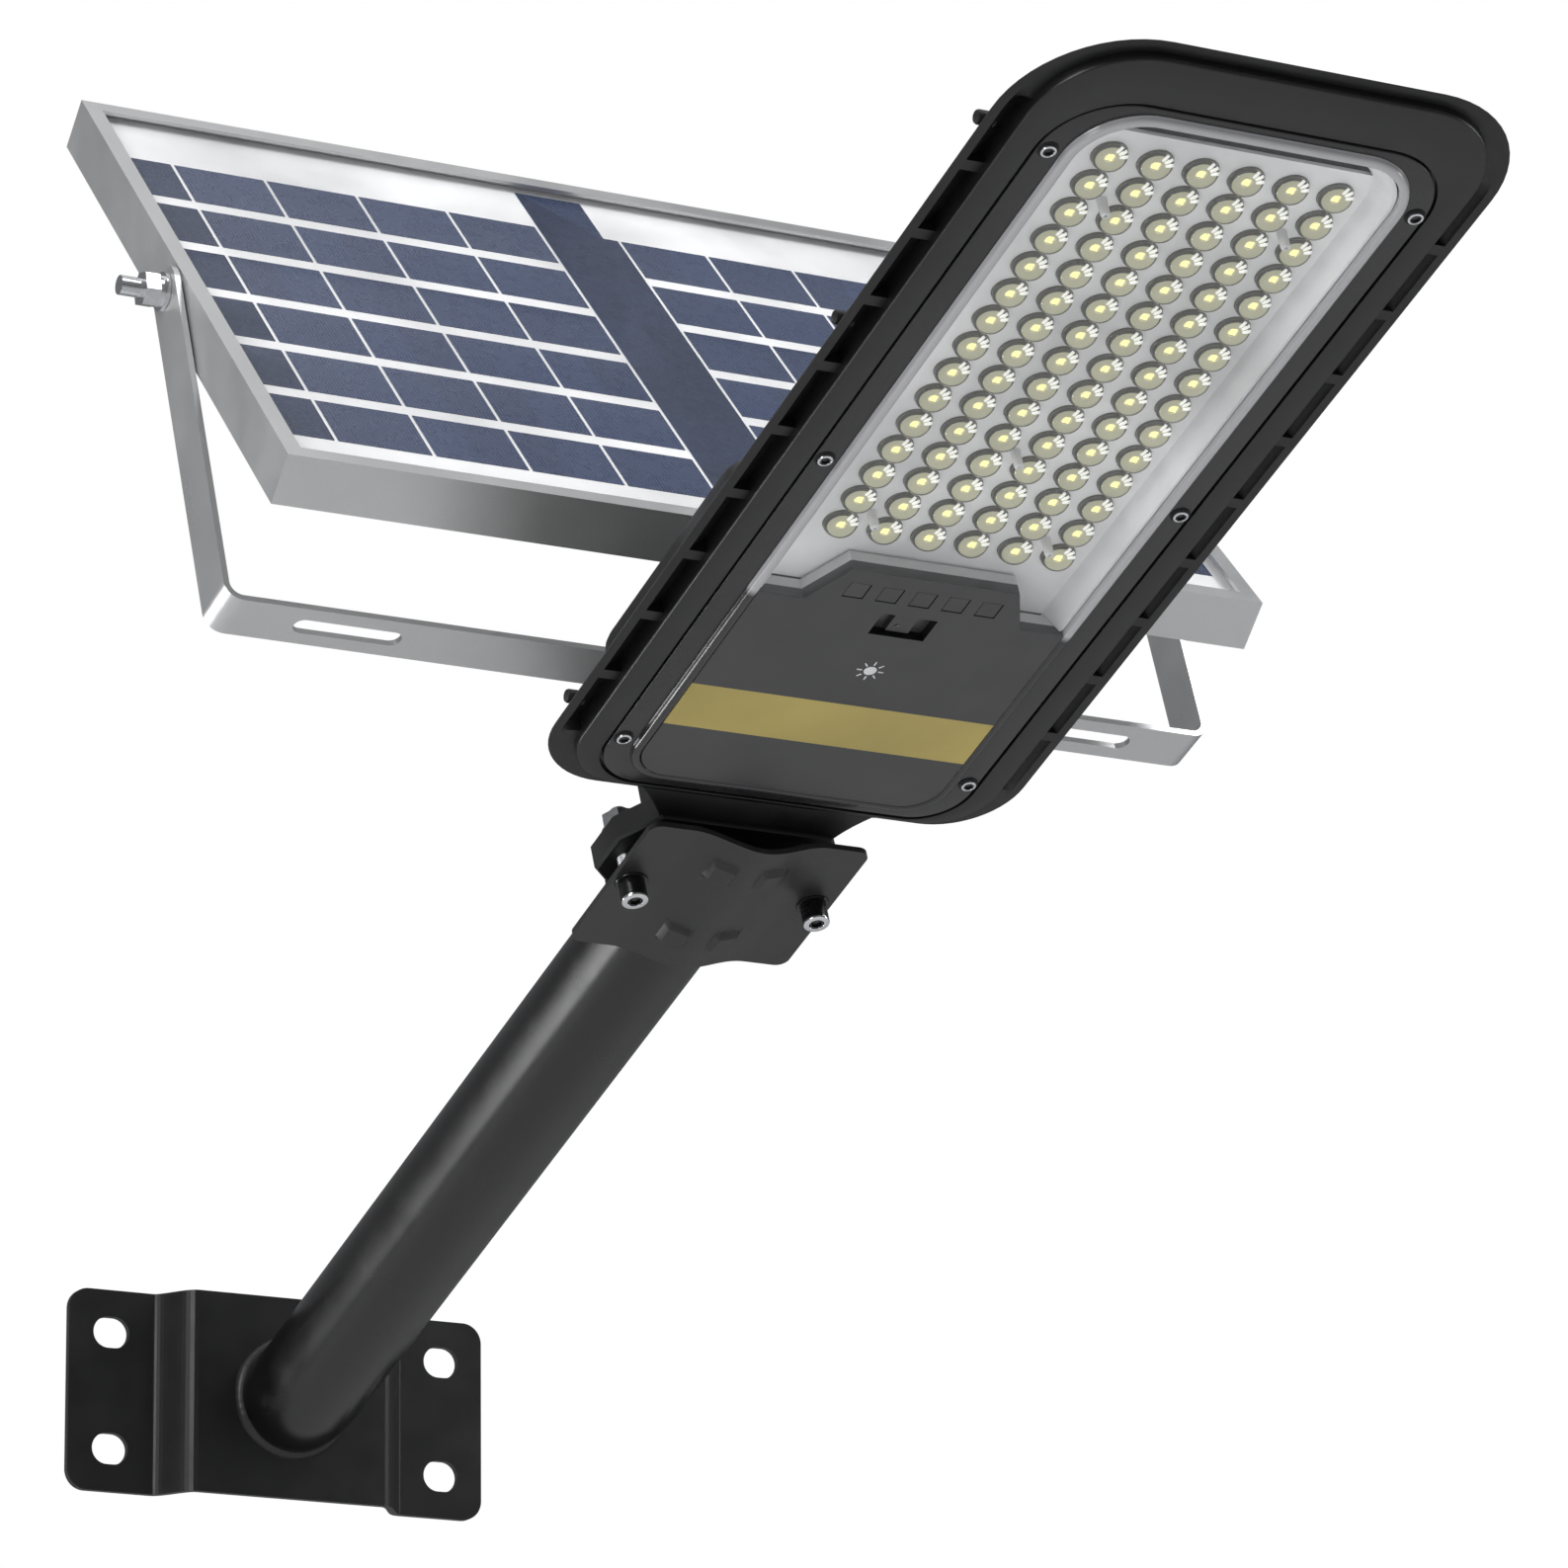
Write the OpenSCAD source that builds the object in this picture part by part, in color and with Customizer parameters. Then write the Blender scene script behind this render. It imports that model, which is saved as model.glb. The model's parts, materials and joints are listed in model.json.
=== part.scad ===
// Wall-mounted solar street lamp: slotted wall plate, bent tube arm, clamped lamp head and a
// tilting solar panel on a U-bracket.
// Origin: centre of the wall plate's slot pattern, on the wall. -Y points away from the wall, +Z up.

/* [Wall plate] */
// Width of the wall plate
plate_w = 200; // [180:1:230]
// Height of the wall plate
plate_h = 90; // [80:1:110]
// Sheet thickness of the wall plate
plate_t = 3.5; // [3:0.5:5]
// How far the raised middle stands off the wall, to its front
plate_rise = 20; // [14:1:22]
// Slot spacing across
slot_dx = 160; // [150:1:170]
// Slot spacing up
slot_dz = 52; // [44:1:58]
// Slot width
slot_w = 14; // [10:0.5:15]
// Slot length, end to end
slot_l = 17; // [15:0.5:20]

/* [Arm] */
// Outside diameter of the arm tube
tube_d = 50; // [48:0.5:52]
// Wall thickness of the arm tube
tube_wall = 2; // [1.5:0.5:3]
// Rise of the arm above horizontal
arm_rise = 20; // [15:1:25]
// Distance along the arm to the far end of the tube
tube_end = 496; // [486:1:496]
// Distance from the wall to the bend
elbow_out = 31; // [28:1:40]

/* [Clamp] */
// Distance along the arm to the clamp bolts
clamp_at = 461; // [456:1:464]
// Width of the front clamp plate
clamp_w = 97; // [94:1:104]
// Length of the front clamp plate
clamp_l = 81; // [70:1:84]
// Half distance between the clamp bolts
clamp_bolt_x = 40.5; // [40.5:0.5:42]

/* [Lamp head] */
// Distance along the arm to the middle of the lamp head
head_at = 727.5; // [727.5:0.5:732]
// Width of the lamp head
head_w = 207.5; // [206:0.5:212]
// Length of the lamp head
head_l = 453; // [452:1:456]
// Depth of the lamp head behind its diode plane
head_back = 30.5; // [28:0.5:34]
// Depth of the battery hump behind the diode plane
hump_back = 49; // [46:1:52]
// Columns of diodes
led_cols = 6; // [4:1:6]
// Rows of diodes
led_rows = 15; // [8:1:15]
// Diode spacing across
led_dx = 18.8; // [17:0.1:19]
// Diode spacing along
led_dy = 15.6; // [15:0.1:15.8]
// Radius of one diode lens
lens_r = 6.8; // [5:0.1:7]

/* [Solar panel] */
// Width of the panel
panel_w = 435; // [425:1:435]
// Length of the panel up its slope
panel_l = 311; // [300:1:312]
// Thickness of the panel frame
panel_t = 22; // [20:1:24]
// Lean of the panel from vertical
panel_lean = 44; // [40:1:60]
// Rows of cells
cell_rows = 6; // [4:1:6]
// Full cells on each side of the middle band
cell_cols = 4; // [3:1:4]

/* [Bracket] */
// Distance along the arm to the U-bracket
bracket_at = 493; // [490:1:495]
// Height of the bracket's bar above the arm's axis
bar_h = 57; // [57:0.5:60]
// Height of the panel pivot above the arm's axis
pivot_h = 218; // [218:1:240]
// Outside width of the U-bracket
bracket_w = 442; // [442:1:450]
// Width of the bracket's strap
strap_w = 22; // [18:1:26]
// Thickness of the bracket's strap
strap_t = 2.5; // [2:0.5:2.5]

/* [Hidden] */
$fn = 64;
CUT = 0.5;                                    // how far a cutter runs past the face it cuts
RUN = 0.05;                                   // radial clearance of a running fit
GAP = 0.2;                                    // gap between flat faces that move past each other
tube_r = tube_d / 2;
arm_z = -elbow_out * tan(arm_rise);           // height at which the arm's axis meets the wall
elbow_s = elbow_out - plate_rise;             // length along the axis from the bend to its corner
elbow_r = elbow_s / tan(arm_rise / 2);        // bend radius of the tube's axis
elbow_a = elbow_out / cos(arm_rise);          // distance along the arm to the bend's corner
led_z = -7;                                   // diode plane, measured from the arm's axis
led_mid = 53.5;                               // middle of the diode field, from the head's middle
// head: half widths of the nested outlines, from the rim in to the clear window
rim_x = head_w / 2;
bezel_x = rim_x - 11.5;
seat_x = 81.6;
cover_x = 80.4;
bead_x = 70;
window_x = 66.2;
// head: end positions of the same outlines
rim_y = head_l / 2;
bezel_y = [-221.5, 221];
cover_y = [-218.5, 197];
bead_y = [-213, 193.5];
window_y = [-209.4, 189.7];
// head: levels through the thickness, towards the back
face_z = -3;
bead_z = -5.5;
window_z = -5;
ledge_z = -0.5;
bezel_back = 1;
board_z = 5;
// stepped edge between the clear window and the control cover
step_y = -91.5;
tab_y = -70.5;
tab_x = 36;
tab_foot_x = 47;
button_y = -100;
button_w = 10;
screw_x = 76.2;
screw_y = [-192, -13, 167.5];
rib_pitch = 38.6;
rib_first = -199;
rib_t = 5;
// clamp: levels below the arm's axis
ear_z = -22.5;
clamp_t = 2.5;
clamp_bulge = 7;
saddle_ear = [-11, 1];
bolt_r = 4;
m8_head_r = 6.5;
m8_washer_r = 8;
// panel
lip_w = 7.5;
lip_t = 1.5;
wall_t = 1.6;
glass_t = 3;
laminate_t = 4;
cell_w = 40;
cell_l = 33.6;
cell_gap_x = 1.8;
cell_gap_y = 8;
cells_y = -6.4;
band_x = 18.8;
inner_x = panel_w / 2 - wall_t - 0.3;
inner_y = panel_l / 2 - wall_t - 0.3;
glass_z = panel_t / 2 - lip_t;

// ---------- frames ----------

// arm frame: +Y runs outwards along the arm, +Z stands square to it, on its upper side
module on_arm()
    translate([0, 0, arm_z]) rotate([-arm_rise, 0, 0]) rotate([0, 0, 180]) children();

// head frame: origin in the diode plane at the middle of the head, light leaves towards -Z
module on_head() on_arm() translate([0, head_at, led_z]) children();

// panel frame: origin on the pivot axis, +Y up the slope, +Z out of the glass
module on_panel()
    translate([0, pivot_h * sin(arm_rise) - bracket_at * cos(arm_rise),
        arm_z + bracket_at * sin(arm_rise) + pivot_h * cos(arm_rise)])
    rotate([90 - panel_lean, 0, 0]) children();

// ---------- shapes that repeat ----------

// one copy on each side of the middle plane
module both_sides() {
    children();
    mirror([1, 0, 0]) children();
}

// rod along X, Y or Z from a to b
module rod_x(r, a, b) translate([a, 0, 0]) rotate([0, 90, 0]) cylinder(r = r, h = b - a);
module rod_y(r, a, b) translate([0, a, 0]) rotate([-90, 0, 0]) cylinder(r = r, h = b - a);
module rod_z(r, a, b) translate([0, 0, a]) cylinder(r = r, h = b - a);

// washer or collar along Z
module ring_z(r_out, r_in, a, b) difference() {
    rod_z(r_out, a, b);
    rod_z(r_in, a - CUT, b + CUT);
}

// hexagon along Z, sized across its flats
module hex_z(flats, a, b) translate([0, 0, a]) cylinder(d = flats / cos(30), h = b - a, $fn = 6);

// box between two corners
module box(low, high) translate(low) cube(high - low);

// outline with its own corner radius at each end
module outline(x, y, r_base, r_tip) {
    translate([-x, y[0] + r_base]) square([2 * x, y[1] - y[0] - r_base - r_tip]);
    translate([r_base - x, y[0]]) square([2 * (x - r_base), r_base + 1]);
    translate([r_tip - x, y[1] - r_tip - 1]) square([2 * (x - r_tip), r_tip + 1]);
    for (side = [-1, 1]) {
        translate([side * (x - r_base), y[0] + r_base]) circle(r_base);
        translate([side * (x - r_tip), y[1] - r_tip]) circle(r_tip);
    }
}

module slab(x, y, r_base, r_tip, z)
    translate([0, 0, z[0]]) linear_extrude(z[1] - z[0]) outline(x, y, r_base, r_tip);

// closed outline of a bent sheet: its centre line, thickened both ways
function turn_left(v) = [-v[1], v[0]] / norm(v);
function along(p, i) = p[min(i + 1, len(p) - 1)] - p[max(i - 1, 0)];
function sheet(p, t) = concat(
    [for (i = [0:len(p) - 1]) p[i] + turn_left(along(p, i)) * t / 2],
    [for (i = [len(p) - 1:-1:0]) p[i] - turn_left(along(p, i)) * t / 2]);
function ease(a) = let (b = min(max(a, 0), 1)) b * b * (3 - 2 * b);

// obround hole along Y
module slot_y(w, l, a, b) {
    for (side = [-1, 1])
        translate([side * (l - w) / 2, 0, 0]) rod_y(w / 2, a, b);
    box([(w - l) / 2, a, -w / 2], [(l - w) / 2, b, w / 2]);
}

// ---------- wall plate and arm ----------

// hat section: flat flanges on the wall, raised middle
hat_foot = 60;
hat_top = 45;
function hat_y(x) = -plate_t / 2
    - (plate_rise - plate_t) * ease((hat_foot - abs(x)) / (hat_foot - hat_top));
hat_x = concat([-plate_w / 2], [for (x = [-hat_foot:1.25:-hat_top]) x],
    [for (x = [hat_top:1.25:hat_foot]) x], [plate_w / 2]);

module wall_plate() color("#1b1b1c") difference() {
    intersection() {
        translate([0, 0, -plate_h / 2]) linear_extrude(plate_h)
            polygon(sheet([for (x = hat_x) [x, hat_y(x)]], plate_t));
        rotate([90, 0, 0])
            slab(plate_w / 2, [-plate_h / 2, plate_h / 2], 9, 9, [-1, plate_rise + 1]);
    }
    for (x = [-slot_dx / 2, slot_dx / 2], z = [-slot_dz / 2, slot_dz / 2])
        translate([x, 0, z]) slot_y(slot_w, slot_l, -plate_t - CUT, CUT);
}

module tube_section() difference() {
    circle(tube_r);
    circle(tube_r - tube_wall);
}

// bend that leaves the plate square and ends along the arm
module arm_bend() color("#161617")
    translate([0, -plate_rise, elbow_r]) rotate([180, 90, 0])
        rotate_extrude(angle = arm_rise, $fn = 96) translate([elbow_r, 0]) tube_section();

module arm_tube() color("#161617") on_arm()
    translate([0, tube_end, 0]) rotate([90, 0, 0])
        linear_extrude(tube_end - elbow_a - elbow_s) tube_section();

weld_leg = 4;
module weld_bead() color("#1a1a1b")
    translate([0, -plate_rise, 0]) rotate([90, 0, 0]) rotate_extrude()
        polygon([[tube_r, 0], [tube_r + weld_leg, 0], [tube_r, weld_leg]]);

// ---------- clamp and neck ----------

bulge_x = 30;
function clamp_z(x) = ear_z + clamp_t / 2 - clamp_bulge * ease(1 - abs(x) / bulge_x);
clamp_x = concat([-clamp_w / 2], [for (x = [-bulge_x:2:bulge_x]) x], [clamp_w / 2]);
stud_w = 10;
stud_x = 11;
stud_y = 22;
stud_z = [-31.5, -25.2];

module clamp_section(t)
    translate([0, clamp_l / 2, 0]) rotate([90, 0, 0]) linear_extrude(clamp_l)
        polygon(sheet([for (x = clamp_x) [x, clamp_z(x)]], t));

module clamp_front() color("#3a3a3c") on_arm() translate([0, clamp_at - 2.5, 0]) difference() {
    union() {
        intersection() {
            clamp_section(clamp_t);
            slab(clamp_w / 2, [-clamp_l / 2, clamp_l / 2], 5, 5, [-40, 0]);
        }
        for (x = [-stud_x, stud_x], y = [-stud_y, stud_y])
            box([x - stud_w / 2, y - stud_w / 2, stud_z[0]],
                [x + stud_w / 2, y + stud_w / 2, stud_z[1]]);
    }
    both_sides() translate([clamp_bolt_x, 2.5, 0]) rod_z(bolt_r + 0.3, -40, 0);
}

collar_r = tube_r + 6.5;
neck_start = 425;
neck_end = head_at - rim_y;
neck_low = -12;
neck_floor = 3;
boss_r = 17;
wire_r = 4.5;

module at_neck_screws()
    for (x = [-43, 43], z = [8, 22]) translate([x, 0, z]) children();

module neck_solid() {
    difference() {
        rod_y(collar_r, neck_start, neck_end);
        box([-60, neck_start - CUT, -60], [60, neck_end + CUT, neck_low]);
    }
    translate([0, 0, neck_low]) linear_extrude(40)
        polygon([[-52, neck_end], [-50, neck_end - 8], [-40, 474], [-30, 466],
            [30, 466], [40, 474], [50, neck_end - 8], [52, neck_end]]);
    translate([0, 0, saddle_ear[0]]) linear_extrude(saddle_ear[1] - saddle_ear[0])
        polygon([[-50, 451], [-50, 472], [-38, 490], [38, 490], [50, 472], [50, 451],
            [41, 443], [-41, 443]]);
    translate([0, bracket_at, 0]) rod_z(boss_r, 20, bar_h - GAP);
    translate([0, (bracket_at + neck_end) / 2, 0])
        box([1.5 - boss_r, -(neck_end - bracket_at) / 2, 20],
            [boss_r - 1.5, (neck_end - bracket_at) / 2, 36]);
}

module neck_saddle() color("#141415") on_arm() difference() {
    neck_solid();
    rod_y(tube_r + RUN, neck_start - CUT, neck_end - neck_floor);
    rod_y(wire_r, neck_end - neck_floor - CUT, neck_end + CUT);
    box([-boss_r - 1, neck_end, neck_low], [boss_r + 1, neck_end + 2 * boss_r, bar_h]);
    both_sides() translate([clamp_bolt_x, clamp_at, 0]) rod_z(bolt_r + 0.3, -20, 10);
    translate([0, bracket_at, 0]) rod_z(bolt_r + 0.02, 34, bar_h + CUT);
    at_neck_screws() rod_y(2.2, neck_end - 12, neck_end + CUT);
}

// socket-head bolts, heads on the front plate
module clamp_bolts() color("#d8d8da") on_arm() both_sides()
    translate([clamp_bolt_x, clamp_at, 0]) difference() {
        union() {
            rod_z(m8_head_r, ear_z - 9.6, ear_z - 1.6);
            ring_z(m8_washer_r, bolt_r - 0.5, ear_z - 1.6, ear_z);
            rod_z(bolt_r, ear_z - 2, 12);
        }
        hex_z(6, ear_z - 10, ear_z - 5);
    }

module clamp_nuts() color("#c9c9cb") on_arm() both_sides()
    translate([clamp_bolt_x, clamp_at, saddle_ear[1]]) difference() {
        union() {
            rod_z(m8_washer_r, 0, 1.6);
            hex_z(13, 1.6, 8);
        }
        rod_z(bolt_r + 0.1, -CUT, 10);
    }

// screws that hold the neck to the housing's end wall, driven from inside the head
neck_wall = 3.2;
module neck_screws() color("#b8b8ba") on_arm() at_neck_screws() {
    rod_y(2, neck_end - 10, neck_end + neck_wall);
    rod_y(4, neck_end + neck_wall, neck_end + neck_wall + 2.8);
}

// ---------- lamp head ----------

pad_x = 52;
pad_z = [1, 36];
gland_x = -62;
gland_y = -225;
gland_z = 22;

// shell of the lamp head: an upright rim, then sides that slope in towards the back
rim_z = [1, 3];
module housing_outside() {
    hull() {
        slab(rim_x, [-rim_y, rim_y], 32, 48, rim_z);
        slab(rim_x - 14, [8 - rim_y, rim_y - 21], 26, 40, [20, 20.5]);
        slab(rim_x - 22, [20.5 - rim_y, rim_y - 34], 22, 34, [head_back - 0.5, head_back],
            $fn = 32);
    }
    hull() {
        slab(81, [-218, -66], 20, 18, [10, 11]);
        slab(73, [-206, -75], 16, 14, [hump_back - 0.5, hump_back]);
    }
    box([-pad_x, -rim_y, pad_z[0]], [pad_x, -200, pad_z[1]]);
}

module housing_inside() {
    hull() {
        slab(rim_x - 14.3, [8 - rim_y, rim_y - 11.5], 23, 38, [-2, 8]);
        slab(rim_x - 17, [11 - rim_y, rim_y - 23], 23, 38, [18, 18.5]);
        slab(rim_x - 24, [22 - rim_y, rim_y - 36], 20, 32, [head_back - 3.5, head_back - 3]);
    }
    hull() {
        slab(78, [-215, -69], 17, 15, [9, 10]);
        slab(70, [-203, -78], 13, 11, [hump_back - 3.5, hump_back - 3]);
    }
}

// scooped pockets between the bezel and the rim, with ribs left standing between them
rib_count = 11;
pocket = [[bezel_x - 0.2, 0], [rim_x - 4, 0], [rim_x - 4, 1.2], [rim_x - 6, 3.6],
    [rim_x - 8.5, 5.6], [bezel_x - 0.2, 7]];
module rib_pockets() both_sides()
    for (i = [0:rib_count - 2])
        translate([0, rib_first + (i + 1) * rib_pitch - rib_t / 2, 0]) rotate([90, 0, 0])
            linear_extrude(rib_pitch - rib_t) polygon(pocket);

module rear_housing() color("#19191a") on_head() difference() {
    union() {
        difference() {
            housing_outside();
            housing_inside();
        }
        for (y = screw_y)
            both_sides() translate([screw_x, y, 0]) rod_z(4.6, bezel_back, 27);
        both_sides() for (y = [-184, 53, 167])
            translate([0, y, 7]) rod_x(2.8, rim_x - 8, rim_x - 0.6);
        translate([gland_x, 0, gland_z]) rod_y(8.5, gland_y, -208);
    }
    rib_pockets();
    for (y = screw_y)
        both_sides() translate([screw_x, y, 0]) rod_z(2, -2, 14);
    translate([0, 0, -led_z]) {
        at_neck_screws() rod_y(2.2, -rim_y - CUT, -200);
        at_neck_screws() rod_y(4.3, neck_wall - rim_y, -200);
        rod_y(wire_r, -rim_y - CUT, -200);
    }
    translate([gland_x, 0, gland_z]) rod_y(5, gland_y - CUT, -200);
    for (x = [-2, 2])
        translate([x, 0, 2]) rod_y(0.5, rim_y - 3, rim_y + CUT);
}

module front_bezel() color("#222223") on_head() difference() {
    slab(bezel_x, bezel_y, 26, 38, [face_z, bezel_back]);
    slab(seat_x, [cover_y[0] - 1.2, cover_y[1] + 1.2], 22, 32, [face_z - CUT, ledge_z]);
    slab(72, [-214, 190], 16, 26, [ledge_z - CUT, bezel_back + CUT]);
    for (y = screw_y) both_sides() translate([screw_x, y, 0]) rod_z(2.3, -2, 2);
}

module cover_gasket() color("#0c0c0c") on_head() difference() {
    slab(cover_x - 0.6, [cover_y[0] + 0.6, cover_y[1] - 0.6], 21, 30, [-1.5, ledge_z]);
    slab(72.2, [-213.8, 189.8], 16, 26, [-2, 0]);
    for (y = screw_y) both_sides() translate([screw_x, y, 0]) rod_z(2.3, -2, 0);
}

// dark frame of the cover: screw flange and raised bead
module cover_frame() color("#2b2b2d") on_head() difference() {
    union() {
        slab(cover_x, cover_y, 21, 30, [face_z, -1.5]);
        slab(bead_x, bead_y, 18, 27, [bead_z, face_z]);
    }
    slab(window_x + 0.1, [window_y[0] - 0.1, window_y[1] + 0.1], 15, 24, [bead_z - 1, 0]);
    for (y = screw_y) both_sides() translate([screw_x, y, 0]) rod_z(2.3, -4, 0);
}

// region inside the bead that the control cover takes up
module control_region(grow) polygon([
    [-80, -230], [80, -230], [80, step_y + grow], [tab_foot_x - grow * 0.6, step_y + grow],
    [tab_x - grow * 0.6, tab_y + grow], [grow * 0.6 - tab_x, tab_y + grow],
    [grow * 0.6 - tab_foot_x, step_y + grow], [-80, step_y + grow]]);

module window_slab(z) slab(window_x, window_y, 15, 24, z);

module lens_cover() color("#dfe6ea", 0.35) on_head() difference() {
    window_slab([window_z, -3]);
    translate([0, 0, -10]) linear_extrude(20) control_region(0.1);
}

indicator_w = 9;
indicator_y = -82.5;
indicator_dx = 14.3;
recess = [24, 13];

module indicator_places(w, z)
    for (i = [-2:2]) translate([i * indicator_dx - w / 2, indicator_y - w / 2, z[0]])
        cube([w, w, z[1] - z[0]]);

module control_cover() color("#3c3c3e") on_head() difference() {
    intersection() {
        window_slab([window_z, 4]);
        translate([0, 0, -10]) linear_extrude(20) control_region(0);
    }
    // hollow behind the face, leaving the edge walls and the button's pocket
    difference() {
        intersection() {
            slab(window_x - 2, [window_y[0] + 2, window_y[1]], 13, 24, [-2.5, 5]);
            translate([0, -2.5, -10]) linear_extrude(20) control_region(0);
        }
        box([-recess[0] / 2 - 2, button_y - recess[1] / 2 - 2, -3],
            [recess[0] / 2 + 2, button_y + recess[1] / 2 + 2, 3]);
    }
    box([-recess[0] / 2, button_y - recess[1] / 2, window_z - CUT],
        [recess[0] / 2, button_y + recess[1] / 2, -1]);
    translate([-button_w / 2 - 0.3, button_y - button_w / 2 - 0.3, -2])
        cube([button_w + 0.6, button_w + 0.6, 8]);
    indicator_places(indicator_w, [window_z - CUT, window_z + 0.8]);
    translate([-window_x - 1, gold_y[0], window_z - CUT])
        cube([2 * window_x + 2, gold_y[1] - gold_y[0], CUT + 0.4]);
}

gold_y = [-177.5, -151];
module gold_band() color("#a8933f") on_head() intersection() {
    window_slab([window_z, window_z + 0.4]);
    box([-window_x, gold_y[0], window_z], [window_x, gold_y[1], window_z + 0.4]);
}

module indicator_windows() color("#303032") on_head()
    indicator_places(indicator_w - 0.8, [window_z + 0.2, window_z + 0.8]);

module power_button() color("#2a2a2c") on_head() difference() {
    union() {
        box([-button_w / 2, button_y - button_w / 2, -3.4],
            [button_w / 2, button_y + button_w / 2, 4.5]);
        box([-button_w / 2 - 1.5, button_y - button_w / 2 - 1.5, 3 + GAP],
            [button_w / 2 + 1.5, button_y + button_w / 2 + 1.5, 4.5]);
    }
    translate([1.5, button_y - 1.5, 0]) rod_z(1.1, -3.4 - CUT, -2.6);
}

module status_lens() color("#e8f0e8") on_head()
    translate([1.5, button_y - 1.5, 0]) rod_z(1, -3.6, -2.6);

module cover_screws() color("#cfcfd2") on_head()
    for (y = screw_y) both_sides() translate([screw_x, y, 0]) difference() {
        union() {
            rod_z(3.7, face_z - 1.5, face_z);
            rod_z(1.9, face_z - CUT, 12);
        }
        hex_z(3.4, face_z - 2, face_z - 0.3);
    }

module reflector_frame() color("#d9dadb") on_head() difference() {
    slab(window_x - 0.4, [step_y - 1, window_y[1] - 0.4], 3, 23, [-2.8, board_z]);
    hull() {
        slab(window_x - 1.6, [step_y - 4, window_y[1] - 1.6], 2, 22, [-3.4, -2.8], $fn = 32);
        slab(window_x - 8, [step_y - 2, window_y[1] - 8], 2, 16, [board_z, board_z + 1], $fn = 32);
    }
    translate([0, 0, -10]) linear_extrude(14.2) control_region(0.3);
}

module led_board() color("#cfd1d2") on_head()
    box([-window_x + 0.5, step_y, board_z], [window_x - 0.5, 176, board_z + 1.6]);

module at_each_led()
    for (i = [0:led_cols - 1], j = [0:led_rows - 1])
        translate([(i - (led_cols - 1) / 2) * led_dx,
            led_mid + (j - (led_rows - 1) / 2) * led_dy, board_z]) children();

module led_chips() color("#d8c65a") on_head() at_each_led()
    translate([-1.75, -1.75, -0.7]) cube([3.5, 3.5, 0.7]);

lens_h = 6.4;
module led_lenses() color("#e9eef0", 0.4) on_head() at_each_led() mirror([0, 0, 1])
    rotate_extrude() difference() {
        intersection() {
            translate([0, -0.8]) circle(lens_h + 0.8);
            square([lens_r, lens_h + 1]);
        }
        square([3, 1.6]);
    }

// clear distance posts between the diode lenses
post_at = [[-2, 5.5], [2, 5.5], [0, -3.5], [-2, -6.5], [2, -6.5]];
post_r = 2;
module lens_posts() color("#f2f4f5", 0.6) on_head()
    for (p = post_at) translate([p[0] * led_dx, led_mid + p[1] * led_dy, 0])
        rod_z(post_r, -3, board_z);

module heat_spreader() color("#b9bbbd") on_head()
    box([-60, -88, board_z + 1.6], [60, 172, board_z + 3.6]);

cell_r = 16;
cell_y = [-188, -154.5, -121];
cell_mid_z = 28.5;
module battery_cells() color("#2f6fae") on_head()
    for (y = cell_y) translate([0, y, cell_mid_z]) {
        rod_x(cell_r, -58, 12);
        rod_x(3, -59.2, -58);
    }

module battery_holder() color("#232325") on_head() difference() {
    box([-56, -206, 10.2], [10, -103, 22]);
    for (y = cell_y) translate([0, y, cell_mid_z]) rod_x(cell_r + 0.2, -57, 12);
}

module controller_board() color("#1f6b3a") on_head()
    box([19, -200, 20], [60, -92, 21.6]);

module controller_parts() color("#2b2b2b") on_head() {
    box([26, -190, 21.6], [38, -178, 24.2]);
    box([26, -160, 21.6], [44, -142, 31]);
    box([47, -130, 21.6], [56, -100, 29]);
    translate([52, -175, 0]) rod_z(5, 21.6, 38);
    translate([52, -160, 0]) rod_z(4, 21.6, 34);
    translate([32, -115, 0]) ring_z(8, 3.5, 21.6, 29);
}

// cable inlet, with no cable
module gland(r, reach) {
    difference() {
        union() {
            rod_z(r * 0.72, -2.5, 0);
            hex_z(r * 1.9, 0, 5);
            rod_z(r * 0.82, 5, 6.5);
            translate([0, 0, 6.5]) cylinder(r1 = r * 0.9, r2 = r * 0.62, h = reach - 6.5);
        }
        rod_z(r * 0.36, -3, reach + CUT);
    }
}

module head_gland() color("#101011") on_head()
    translate([gland_x, gland_y, gland_z]) rotate([90, 0, 0]) gland(6.6, 15);

// ---------- bracket ----------

module pan_bolt() color("#c6c6c8") on_arm() translate([0, bracket_at, 0]) {
    rod_z(bolt_r, 36, bar_h + strap_t + GAP);
    rod_z(m8_washer_r, bar_h + strap_t + GAP, bar_h + strap_t + GAP + 1.5);
    hex_z(12, bar_h + strap_t + GAP + 1.5, bar_h + strap_t + GAP + 6);
}

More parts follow.
